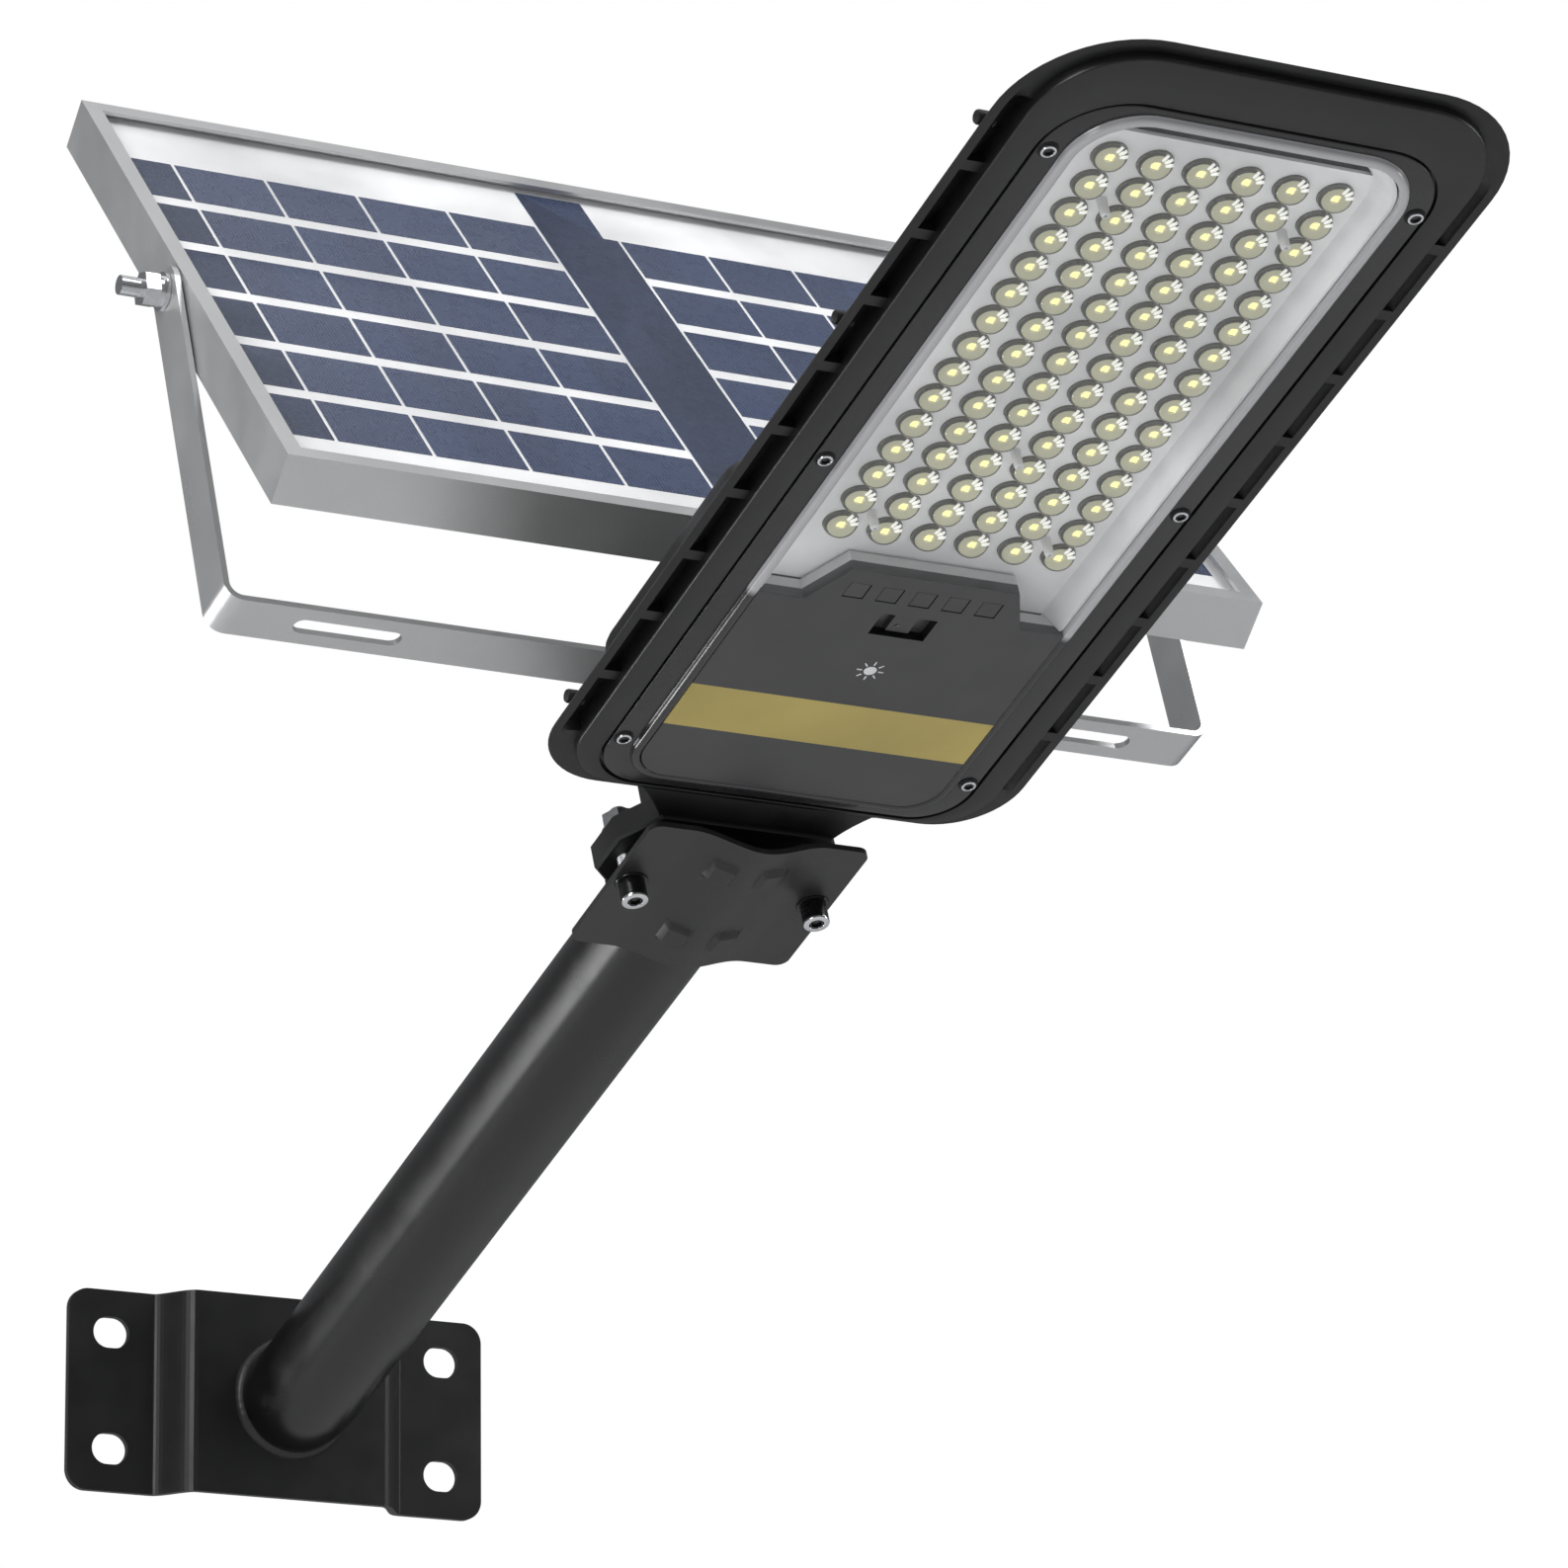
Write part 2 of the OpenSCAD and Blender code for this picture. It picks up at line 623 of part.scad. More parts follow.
bend_r = 8;
strap_slot = [8.5, 46];
module u_bracket() color("#b4b6b8") on_arm() translate([0, bracket_at, 0]) difference() {
    union() {
        box([bend_r - bracket_w / 2, -strap_w / 2, bar_h],
            [bracket_w / 2 - bend_r, strap_w / 2, bar_h + strap_t]);
        both_sides() {
            translate([bracket_w / 2 - bend_r, strap_w / 2, bar_h + bend_r]) rotate([90, 0, 0])
                rotate([0, 0, -90]) rotate_extrude(angle = 90)
                    translate([bend_r - strap_t, 0]) square([strap_t, strap_w]);
            box([bracket_w / 2 - strap_t, -strap_w / 2, bar_h + bend_r],
                [bracket_w / 2, strap_w / 2, pivot_h]);
            translate([0, 0, pivot_h]) rod_x(strap_w / 2, bracket_w / 2 - strap_t, bracket_w / 2);
        }
    }
    rod_z(bolt_r + RUN, bar_h - CUT, bar_h + strap_t + CUT);
    both_sides() {
        translate([0, 0, pivot_h])
            rod_x(bolt_r + RUN, bracket_w / 2 - strap_t - CUT, bracket_w / 2 + CUT);
        translate([165, 0, bar_h + strap_t / 2]) rotate([90, 0, 0])
            slot_y(strap_slot[0], strap_slot[1], -3, 3);
    }
}

// ---------- panel ----------

// frame section: outer wall, front lip, shelf under the laminate and back flange
shelf_z = glass_z - laminate_t;
shelf_t = 1;
back_flange = 16;
module frame_section() {
    h = panel_t / 2;
    translate([0, -h]) square([wall_t, panel_t]);
    translate([0, h - lip_t]) square([lip_w, lip_t]);
    translate([0, shelf_z - shelf_t]) square([lip_w, shelf_t]);
    translate([0, -h]) square([back_flange, 1.4]);
}

// one side of the frame, mitred, with its outer face at y = -half
module frame_side(length, half) intersection() {
    translate([-length / 2, -half, 0]) rotate([90, 0, 90]) linear_extrude(length) frame_section();
    translate([0, 0, -panel_t]) linear_extrude(2 * panel_t)
        polygon([[-length / 2, -half], [length / 2, -half],
            [length / 2 - 30, 30 - half], [30 - length / 2, 30 - half]]);
}

module pivot_hole() rod_x(bolt_r + 0.15, panel_w / 2 - wall_t - CUT, panel_w / 2 + CUT);

module frame_bottom() color("#bcbec0") on_panel() frame_side(panel_w, panel_l / 2);
module frame_top() color("#bcbec0") on_panel()
    rotate([0, 0, 180]) frame_side(panel_w, panel_l / 2);
module frame_right() color("#bcbec0") on_panel() difference() {
    rotate([0, 0, 90]) frame_side(panel_l, panel_w / 2);
    pivot_hole();
}
module frame_left() color("#bcbec0") on_panel() mirror([1, 0, 0]) difference() {
    rotate([0, 0, 90]) frame_side(panel_l, panel_w / 2);
    pivot_hole();
}

// angle keys pushed into the frame's corners
module corner_keys() color("#8d8f91") on_panel()
    both_sides() for (side = [-1, 1]) mirror([0, (1 - side) / 2, 0])
        translate([panel_w / 2 - wall_t - 0.1, panel_l / 2 - wall_t - 0.1, 0]) {
            box([-24, -1.8, -8], [0, 0, 3]);
            box([-1.8, -24, -8], [0, -1.8, 3]);
        }

module panel_glass() color("#dfe8f2", 0.25) on_panel()
    box([-inner_x, -inner_y, glass_z - glass_t], [inner_x, inner_y, glass_z]);

cell_z = glass_z - glass_t;
cell_t = 0.3;
rows_l = cell_rows * cell_l + (cell_rows - 1) * cell_gap_y;

// one cell, from its low corner to its width
module cell(x, w, row) translate([x, cells_y - rows_l / 2 + row * (cell_l + cell_gap_y),
    cell_z - cell_t]) cube([w, cell_l, cell_t]);

module solar_cells() color("#22375f") on_panel() {
    for (row = [0:cell_rows - 1]) both_sides() {
        for (i = [0:cell_cols - 1])
            cell(band_x + cell_gap_x + i * (cell_w + cell_gap_x), cell_w, row);
        cell(band_x + cell_gap_x + cell_cols * (cell_w + cell_gap_x), cell_w / 2, row);
    }
    box([-band_x, cells_y - rows_l / 2, cell_z - cell_t],
        [band_x, cells_y + rows_l / 2, cell_z]);
    box([-band_x, cells_y + rows_l / 2, cell_z - cell_t],
        [band_x * 0.64, inner_y - lip_w + wall_t, cell_z]);
}

module panel_backsheet() color("#eceded") on_panel()
    box([-inner_x, -inner_y, shelf_z], [inner_x, inner_y, cell_z - cell_t]);

jbox = [72, 54, 14];
jbox_y = 96;
module junction_box() color("#141414") on_panel() difference() {
    box([-jbox[0] / 2, jbox_y - jbox[1] / 2, shelf_z - jbox[2]],
        [jbox[0] / 2, jbox_y + jbox[1] / 2, shelf_z]);
    box([2 - jbox[0] / 2, jbox_y + 2 - jbox[1] / 2, shelf_z - jbox[2] - CUT],
        [jbox[0] / 2 - 2, jbox_y - 2 + jbox[1] / 2, shelf_z - 2]);
    translate([0, jbox_y - jbox[1] / 2 - CUT, shelf_z - 8]) rod_y(3.6, 0, 3);
}

module junction_lid() color("#1b1b1b") on_panel() {
    box([-jbox[0] / 2, jbox_y - jbox[1] / 2, shelf_z - jbox[2] - 2],
        [jbox[0] / 2, jbox_y + jbox[1] / 2, shelf_z - jbox[2]]);
    box([2.3 - jbox[0] / 2, jbox_y + 2.3 - jbox[1] / 2, shelf_z - jbox[2]],
        [jbox[0] / 2 - 2.3, jbox_y - 2.3 + jbox[1] / 2, shelf_z - jbox[2] + 1.5]);
}

module junction_gland() color("#101011") on_panel()
    translate([0, jbox_y - jbox[1] / 2, shelf_z - 8]) rotate([90, 0, 0]) gland(4.6, 12);

arm_x = bracket_w / 2;
bolt_out = 19.5;
module pivot_bolts() color("#c4c4c6") on_panel() both_sides() {
    rod_x(bolt_r, panel_w / 2 - wall_t, arm_x + bolt_out);
    box([panel_w / 2 - wall_t - 3, -7, -6], [panel_w / 2 - wall_t, 7, 4.3]);
}

// spacer inside the arm, flat and spring washers outside it
module pivot_washers() color("#b9b9bb") on_panel() both_sides() rotate([0, 90, 0]) {
    ring_z(9, bolt_r + 0.1, panel_w / 2, arm_x - strap_t - GAP);
    ring_z(m8_washer_r, bolt_r + 0.1, arm_x + GAP, arm_x + GAP + 1.6);
    ring_z(6.6, bolt_r + 0.1, arm_x + GAP + 1.6, arm_x + GAP + 3.8);
}

module pivot_nuts() color("#cacacc") on_panel() both_sides() rotate([0, 90, 0]) difference() {
    hex_z(13, arm_x + GAP + 3.8, arm_x + GAP + 10);
    rod_z(bolt_r + 0.1, arm_x, arm_x + 20);
}

wall_plate();
arm_bend();
arm_tube();
weld_bead();
clamp_front();
neck_saddle();
clamp_bolts();
clamp_nuts();
neck_screws();
rear_housing();
front_bezel();
cover_gasket();
cover_frame();
lens_cover();
control_cover();
gold_band();
indicator_windows();
power_button();
status_lens();
cover_screws();
reflector_frame();
led_board();
led_chips();
led_lenses();
lens_posts();
heat_spreader();
battery_holder();
battery_cells();
controller_board();
controller_parts();
head_gland();
pan_bolt();
u_bracket();
frame_top();
frame_bottom();
frame_left();
frame_right();
corner_keys();
panel_glass();
solar_cells();
panel_backsheet();
junction_box();
junction_lid();
junction_gland();
pivot_bolts();
pivot_washers();
pivot_nuts();
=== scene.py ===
"""Looks of the solar street lamp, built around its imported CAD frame.

The scene is in metres. Shapes are drawn in millimetres of a local frame, and piece() scales
them: ARM follows the arm from the lamp's roll joint, and HEAD lies on the lamp head's front.
"""
import json
import math

import bmesh
import bpy
from mathutils import Matrix, Vector


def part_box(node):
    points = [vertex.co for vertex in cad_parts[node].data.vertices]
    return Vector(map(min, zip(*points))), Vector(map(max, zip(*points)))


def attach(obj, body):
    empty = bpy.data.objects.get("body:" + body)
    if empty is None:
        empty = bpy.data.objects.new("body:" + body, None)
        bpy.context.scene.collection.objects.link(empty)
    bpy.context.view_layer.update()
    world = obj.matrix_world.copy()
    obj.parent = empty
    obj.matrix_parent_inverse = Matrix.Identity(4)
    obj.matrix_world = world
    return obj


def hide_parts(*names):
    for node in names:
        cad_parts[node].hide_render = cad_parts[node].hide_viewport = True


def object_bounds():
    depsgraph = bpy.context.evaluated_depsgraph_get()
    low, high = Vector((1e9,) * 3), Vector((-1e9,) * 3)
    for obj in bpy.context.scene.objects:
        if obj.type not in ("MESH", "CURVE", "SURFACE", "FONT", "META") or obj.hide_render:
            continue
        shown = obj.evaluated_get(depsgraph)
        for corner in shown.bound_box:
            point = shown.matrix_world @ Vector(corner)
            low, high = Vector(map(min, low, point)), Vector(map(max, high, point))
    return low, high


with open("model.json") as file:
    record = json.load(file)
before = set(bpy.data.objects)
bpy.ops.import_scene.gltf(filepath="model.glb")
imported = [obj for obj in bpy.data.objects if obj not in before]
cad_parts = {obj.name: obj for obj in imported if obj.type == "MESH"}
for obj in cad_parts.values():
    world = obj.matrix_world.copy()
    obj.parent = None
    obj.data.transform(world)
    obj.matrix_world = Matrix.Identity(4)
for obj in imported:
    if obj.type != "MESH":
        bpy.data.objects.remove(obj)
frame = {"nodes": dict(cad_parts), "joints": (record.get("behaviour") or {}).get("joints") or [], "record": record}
cad_box = [list(corner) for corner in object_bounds()]
NODES = frame["nodes"]
JOINTS = {j["name"]: j for j in frame["joints"]}
MM = 0.001

# ---------- local frames, taken from the joints and the nodes ----------


def local_frame(origin, x, y, z):
    """Matrix that carries a point of a local frame into the scene."""
    turn = Matrix((x, y, z)).transposed().to_4x4()
    return Matrix.Translation(Vector(origin)) @ turn


def box_in(node, matrix):
    """Lowest and highest corner of a CAD node in a local frame."""
    inverse = matrix.inverted()
    points = [inverse @ v.co for v in NODES[node].data.vertices]
    low = Vector([min(p[i] for p in points) for i in range(3)])
    high = Vector([max(p[i] for p in points) for i in range(3)])
    return low, high


OUT = Vector(JOINTS["lamp_roll"]["axis"]).normalized()    # outwards along the arm
UP = Vector(JOINTS["bracket_pan"]["axis"]).normalized()   # square to the arm, on its upper side
SIDE = OUT.cross(UP)
ARM = local_frame(JOINTS["lamp_roll"]["pos_m"], SIDE, OUT, UP)

FACE_Z = -3                                               # the bezel's front in HEAD, in mm
_bezel = box_in("front_bezel", ARM)
_shell = box_in("rear_housing", ARM)
_origin = ARM @ Vector((0, (_shell[0].y + _shell[1].y) / 2, _bezel[0].z - FACE_Z * MM))
HEAD = local_frame(_origin, SIDE, OUT, UP)

# ---------- materials ----------

MIX_A, MIX_B, MIX_RESULT = 6, 7, 2    # the Mix node's colour sockets


class Look:
    """A Principled material under construction."""

    def __init__(self, name, colour, roughness, metallic=0.0, **sockets):
        self.material = bpy.data.materials.new(name)
        self.material.use_nodes = True
        self.tree = self.material.node_tree
        self.shader = self.tree.nodes["Principled BSDF"]
        self.set("Base Color", (*colour, 1))
        self.set("Roughness", roughness)
        self.set("Metallic", metallic)
        for socket, value in sockets.items():
            self.set(socket.replace("_", " "), value)

    def set(self, socket, value):
        self.shader.inputs[socket].default_value = value

    def node(self, kind, **values):
        made = self.tree.nodes.new(kind)
        for key, value in values.items():
            if hasattr(made, key):
                setattr(made, key, value)
            else:
                made.inputs[key.replace("_", " ")].default_value = value
        return made

    def link(self, a, b):
        self.tree.links.new(a, b)

    def place(self, scale=(1, 1, 1)):
        """Object coordinates, scaled, as a vector output."""
        where = self.node("ShaderNodeTexCoord")
        mapping = self.node("ShaderNodeMapping")
        mapping.inputs["Scale"].default_value = scale
        self.link(where.outputs["Object"], mapping.inputs["Vector"])
        return mapping.outputs["Vector"]

    def noise(self, scale, detail=2.0, stretch=(1, 1, 1)):
        made = self.node("ShaderNodeTexNoise", Scale=scale, Detail=detail)
        self.link(self.place(stretch), made.inputs["Vector"])
        return made.outputs["Fac"]

    def spread(self, value, low, high, source=(0.3, 0.7)):
        """Maps a value onto a range."""
        made = self.node("ShaderNodeMapRange")
        for key, number in (("From Min", source[0]), ("From Max", source[1]),
                            ("To Min", low), ("To Max", high)):
            made.inputs[key].default_value = number
        self.link(value, made.inputs["Value"])
        return made.outputs["Result"]

    def blend(self, factor, a, b):
        """Colour between a and b."""
        made = self.node("ShaderNodeMix", data_type="RGBA")
        for socket, value in ((MIX_A, a), (MIX_B, b)):
            if isinstance(value, tuple):
                made.inputs[socket].default_value = (*value, 1)
            else:
                self.link(value, made.inputs[socket])
        self.link(factor, made.inputs[0])
        return made.outputs[MIX_RESULT]

    def maths(self, operation, a, b=None):
        made = self.node("ShaderNodeMath", operation=operation)
        for socket, value in ((0, a), (1, b)):
            if isinstance(value, (int, float)):
                made.inputs[socket].default_value = value
            elif value is not None:
                self.link(value, made.inputs[socket])
        return made.outputs[0]

    def colour(self, value):
        self.link(value, self.shader.inputs["Base Color"])

    def rough(self, value):
        self.link(value, self.shader.inputs["Roughness"])

    def dot(self, value, direction):
        """How far a vector reaches along a direction."""
        made = self.node("ShaderNodeVectorMath", operation="DOT_PRODUCT")
        self.link(value, made.inputs[0])
        made.inputs[1].default_value = direction
        return made.outputs["Value"]

    def bump(self, height, strength, distance):
        made = self.node("ShaderNodeBump", Strength=strength, Distance=distance)
        self.link(height, made.inputs["Height"])
        self.link(made.outputs["Normal"], self.shader.inputs["Normal"])


def coated(name, colour, roughness, grain, depth, **sockets):
    """Painted or moulded surface: fine grain in the bump, soft drift in tone and gloss."""
    look = Look(name, colour, roughness, **sockets)
    drift = look.noise(14, 3)
    lighter = tuple(min(1, c * 1.22) for c in colour)
    darker = tuple(c * 0.84 for c in colour)
    look.colour(look.blend(look.spread(drift, 0, 1), darker, lighter))
    look.rough(look.spread(look.noise(55, 4), roughness * 0.88, min(1, roughness * 1.12)))
    look.bump(look.noise(grain, 4), 0.35, depth)
    return look.material


def metal(name, colour, roughness, stretch, grain=900, metallic=1.0):
    """Bare metal with a drawn or brushed grain along one direction."""
    look = Look(name, colour, roughness, metallic=metallic)
    drawn = look.noise(grain, 3, stretch)
    darker = tuple(c * 0.86 for c in colour)
    look.colour(look.blend(look.spread(drawn, 0, 1), darker, colour))
    look.rough(look.spread(look.noise(30, 4), roughness * 0.8, roughness * 1.2))
    look.bump(drawn, 0.3, 6e-6)
    return look.material


def clear(name, colour, roughness, alpha):
    """Clear moulding, kept light enough for what lies behind it."""
    look = Look(name, colour, roughness, Alpha=alpha, IOR=1.49)
    look.rough(look.spread(look.noise(60, 2), roughness * 0.7, roughness * 1.4))
    look.bump(look.noise(45, 1), 0.08, 2e-5)
    return look.material


MATERIALS = {
    "black_powder": coated("powder_black", (0.0065, 0.0065, 0.0068), 0.4, 2600, 2.5e-5),
    "black_satin": coated("satin_black", (0.0035, 0.0035, 0.0037), 0.25, 1500, 6e-6),
    "grey_satin": coated("satin_grey", (0.016, 0.016, 0.017), 0.36, 1900, 8e-6),
    "black_moulding": coated("moulded_black", (0.0045, 0.0045, 0.0048), 0.48, 2400, 1.2e-5),
    "bezel_black": coated("bezel_black", (0.006, 0.006, 0.0065), 0.36, 2400, 8e-6),
    "gasket_rubber": coated("rubber_black", (0.006, 0.006, 0.006), 0.7, 900, 1e-5),
    "cover_dark": coated("cover_dark", (0.02, 0.02, 0.021), 0.25, 1200, 3e-6),
    "gold_band": coated("gold_ink", (0.45, 0.36, 0.1), 0.42, 1600, 4e-6),
    "smoked_window": coated("smoked_window", (0.05, 0.05, 0.052), 0.25, 900, 3e-6),
    "button_dark": coated("button_dark", (0.05, 0.05, 0.052), 0.36, 1500, 4e-6),
    "bright_steel": metal("zinc_bright", (0.72, 0.73, 0.75), 0.2, (1, 1, 1), 500),
    "reflector_white": coated("reflector_white", (0.8, 0.8, 0.81), 0.36, 700, 4e-6),
    "board_white": coated("solder_mask_white", (0.84, 0.84, 0.85), 0.42, 900, 4e-6),
    # The die's glow is painted light: it stands in for the light falling on the die under its lens.
    "diode_yellow": coated("phosphor_painted_glow", (0.8, 0.72, 0.2), 0.6, 1500, 1e-5,
                           Emission_Color=(1.0, 0.93, 0.5, 1), Emission_Strength=0.85),
    "plain_aluminium": metal("mill_aluminium", (0.62, 0.63, 0.64), 0.4, (1, 12, 1)),
    "holder_black": coated("holder_black", (0.02, 0.02, 0.02), 0.55, 1200, 1e-5),
    "cell_sleeve": coated("cell_sleeve", (0.03, 0.14, 0.38), 0.3, 500, 4e-6),
    "board_green": coated("board_green", (0.01, 0.11, 0.04), 0.4, 1500, 6e-6),
    "component_black": coated("component_black", (0.02, 0.02, 0.02), 0.45, 1500, 6e-6),
    "gland_black": coated("gland_black", (0.012, 0.012, 0.012), 0.5, 1600, 1e-5),
    "bracket_aluminium": metal("satin_strap", (0.6, 0.605, 0.61), 0.33, (1, 30, 30), metallic=0.7),
    "frame_aluminium": metal("satin_frame", (0.6, 0.605, 0.61), 0.38, (1, 24, 24), metallic=0.7),
    "backsheet_white": coated("backsheet", (0.82, 0.82, 0.83), 0.5, 400, 1e-5),
    "box_black": coated("box_black", (0.014, 0.014, 0.014), 0.5, 1800, 1.2e-5),
    "panel_glass": clear("tempered_glass", (0.9, 0.94, 1.0), 0.04, 0.03),
    "clear_cover": clear("cover_clear", (0.9, 0.92, 0.95), 0.03, 0.05),
}


def glassy(name, tint, roughness):
    """Solid glass or clear plastic that bends light."""
    look = Look(name, tint, roughness, Transmission_Weight=1.0, IOR=1.47)
    look.rough(look.spread(look.noise(200, 2), roughness * 0.6, roughness * 1.4))
    return look.material


def stepped(name, face, wall, floor_tone, depth):
    """Moulding with a matt face, painted shade on the walls of the step at its edge, and a pale wall below the
    step.
    """
    look = Look(name, face, 0.36)
    spot = look.node("ShaderNodeTexCoord")
    origin = HEAD.translation.dot(UP)
    blur = 0.15    # mm on each side of the step
    below = look.spread(look.dot(spot.outputs["Object"], UP), 0, 1,
                        (origin + (depth - blur) * MM, origin + (depth + blur) * MM))
    # Faces turned away from the front take the near-black wall colour: painted shade on the step's walls.
    turned = look.node("ShaderNodeNewGeometry")
    flat = look.spread(look.dot(turned.outputs["True Normal"], -UP), 0, 1, (0.4, 0.8))
    tone = look.blend(flat, wall, look.blend(look.spread(look.noise(16, 3), 0, 1),
                                             tuple(c * 0.9 for c in face), face))
    look.colour(look.blend(below, tone, floor_tone))
    look.rough(look.spread(look.noise(60, 4), 0.3, 0.42))
    look.bump(look.noise(1800, 4), 0.35, 4e-6)
    return look.material


def silicon():
    """Blue cells: fine printed fingers along the slope, and a tone of its own for each cell."""
    cell_x, cell_z = 0.0209, 0.0299               # the cells' steps across and up
    fingers_per_m, finger_from = 640.0, 0.78      # a finger takes the last part of each step
    look = Look("silicon_blue", (0.016, 0.032, 0.1), 0.28)
    spot = look.node("ShaderNodeTexCoord")
    split = look.node("ShaderNodeSeparateXYZ")
    look.link(spot.outputs["Object"], split.inputs[0])
    fingers = look.maths("FRACT", look.maths("MULTIPLY", split.outputs["X"], fingers_per_m))
    line = look.maths("GREATER_THAN", fingers, finger_from)
    column = look.maths("FLOOR", look.maths("MULTIPLY", split.outputs["X"], 1 / cell_x))
    row = look.maths("FLOOR", look.maths("MULTIPLY", split.outputs["Z"], 1 / cell_z))
    own = look.node("ShaderNodeTexWhiteNoise", noise_dimensions="2D")
    pair = look.node("ShaderNodeCombineXYZ")
    look.link(column, pair.inputs[0])
    look.link(row, pair.inputs[1])
    look.link(pair.outputs[0], own.inputs["Vector"])
    grains = look.noise(170, 2)
    tone = look.maths("ADD", look.maths("MULTIPLY", own.outputs["Value"], 0.45),
                      look.maths("MULTIPLY", grains, 0.55))
    base = look.blend(tone, (0.009, 0.02, 0.068), (0.022, 0.044, 0.125))
    look.colour(look.blend(look.maths("MULTIPLY", line, 0.3), base, (0.2, 0.25, 0.36)))
    look.rough(look.spread(grains, 0.22, 0.34))
    return look.material


MATERIALS["cell_blue"] = silicon()
# Its near-black second colour is painted shade on the control cover's step walls.
MATERIALS["control_dark"] = stepped("control_dark", (0.05, 0.05, 0.052), (0.006, 0.006, 0.006),
                                    (0.6, 0.6, 0.61), -0.4)
# The cups, cones and glints are painted reflections of the lenses, so they glow a little.
MATERIALS["dark_lens_reflection"] = coated("dark_lens_reflection", (0.05, 0.05, 0.035), 0.3, 900, 4e-6,
                               Emission_Color=(0.5, 0.5, 0.4, 1), Emission_Strength=0.03)
MATERIALS["grey_lens_reflection"] = coated("grey_lens_reflection", (0.4, 0.4, 0.3), 0.4, 900, 4e-6,
                                Emission_Color=(0.62, 0.6, 0.42, 1), Emission_Strength=0.34)
MATERIALS["glint_white"] = coated("glint_white", (0.85, 0.85, 0.85), 0.4, 900, 4e-6,
                                  Emission_Color=(1, 1, 0.98, 1), Emission_Strength=0.7)
MATERIALS["lens_clear"] = glassy("lens_clear", (0.97, 0.98, 0.95), 0.03)

# ---------- shapes ----------


def soften(made, width):
    """Fine rounded edges on a CAD node, so that they catch light as real ones do."""
    bevel = made.modifiers.new("edge", "BEVEL")
    bevel.width = width
    bevel.segments = 2
    bevel.limit_method = "ANGLE"
    bevel.angle_limit = math.radians(35)
    weighted = made.modifiers.new("normals", "WEIGHTED_NORMAL")
    weighted.keep_sharp = True


def piece(name, mesh, matrix, body, slot, *replaced, angle=32, material=None):
    """Turns a mesh in millimetres of a local frame into a named piece that rides on a body.

    Edges sharper than the angle stay sharp, and the slot names the finish unless one is given.
    """
    bmesh.ops.scale(mesh, vec=(MM, MM, MM), verts=mesh.verts)
    bmesh.ops.recalc_face_normals(mesh, faces=mesh.faces)
    for line in mesh.edges:
        line.smooth = line.calc_face_angle(0) < math.radians(angle)
    for face in mesh.faces:
        face.smooth = True
    data = bpy.data.meshes.new(name)
    mesh.to_mesh(data)
    mesh.free()
    made = bpy.data.objects.new(name, data)
    bpy.context.scene.collection.objects.link(made)
    made.matrix_world = matrix
    data.materials.append(material or MATERIALS[slot])
    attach(made, body)
    if replaced:
        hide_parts(*replaced)
    return made


def skin(mesh, rings, closed=False):
    """Joins each ring of points to the next; the ends are capped unless the rings close up."""
    rows = [[mesh.verts.new(point) for point in ring] for ring in rings]
    count = len(rows[0])
    for a, b in zip(rows, rows[1:] + rows[:1] if closed else rows[1:]):
        for i in range(count):
            k = (i + 1) % count
            mesh.faces.new((a[i], a[k], b[k], b[i]))
    if not closed:
        mesh.faces.new(rows[0][::-1])
        mesh.faces.new(rows[-1])


def lathe(mesh, place, profile, steps=32, closed=False, turn=0.0):
    """Turned shape: a profile of (radius, height) spun about the local Z of a place."""
    rings = []
    for radius, height in profile:
        rings.append([place @ Vector((radius * math.cos(a), radius * math.sin(a), height))
                      for a in (turn + math.tau * i / steps for i in range(steps))])
    skin(mesh, rings, closed)


CORNER_STEPS = 14


def outline(x, y, r_base, r_tip, runs=(0.0, 1.0)):
    """Rounded outline of the lamp head's kind: half width, both ends, and their corner radii."""
    points = []
    corners = ((x - r_base, y[0] + r_base, r_base, -90), (x - r_tip, y[1] - r_tip, r_tip, 0),
               (r_tip - x, y[1] - r_tip, r_tip, 90), (r_base - x, y[0] + r_base, r_base, 180))
    for number, (cx, cy, radius, start) in enumerate(corners):
        for i in range(CORNER_STEPS + 1):
            a = math.radians(start + 90 * i / CORNER_STEPS)
            points.append((cx + radius * math.cos(a), cy + radius * math.sin(a)))
        if number in (0, 2):
            side = x if number == 0 else -x
            low, high = y[0] + r_base, y[1] - r_tip
            between = [low + (high - low) * f for f in runs[1:-1]]
            points += [(side, v) for v in (between if number == 0 else between[::-1])]
    return points


def level(points, z):
    return [Vector((px, py, z)) for px, py in points]


def parts_of(node, matrix):
    """Boxes of a CAD node's loose parts in a local frame, in millimetres, along Y and then X."""
    mesh = bmesh.new()
    mesh.from_mesh(NODES[node].data)
    bmesh.ops.remove_doubles(mesh, verts=mesh.verts, dist=1e-6)
    mesh.transform(matrix.inverted())
    left, found = set(mesh.verts), []
    for start in list(mesh.verts):
        if start not in left:
            continue
        left.remove(start)
        stack, group = [start], []
        while stack:
            vert = stack.pop()
            group.append(vert.co / MM)
            for line in vert.link_edges:
                other = line.other_vert(vert)
                if other in left:
                    left.remove(other)
                    stack.append(other)
        found.append([Vector([pick(p[i] for p in group) for i in range(3)])
                      for pick in (min, max)])
    mesh.free()
    return sorted(found, key=lambda b: (round(b[0].y, 1), round(b[0].x, 1)))


def size(node, matrix):
    """A node's box in a local frame, in millimetres."""
    low, high = box_in(node, matrix)
    return low / MM, high / MM


def at(x, y, z):
    return Matrix.Translation((x, y, z))


FLIP = Matrix.Rotation(math.pi, 4, "X")

# ---------- lamp head ----------

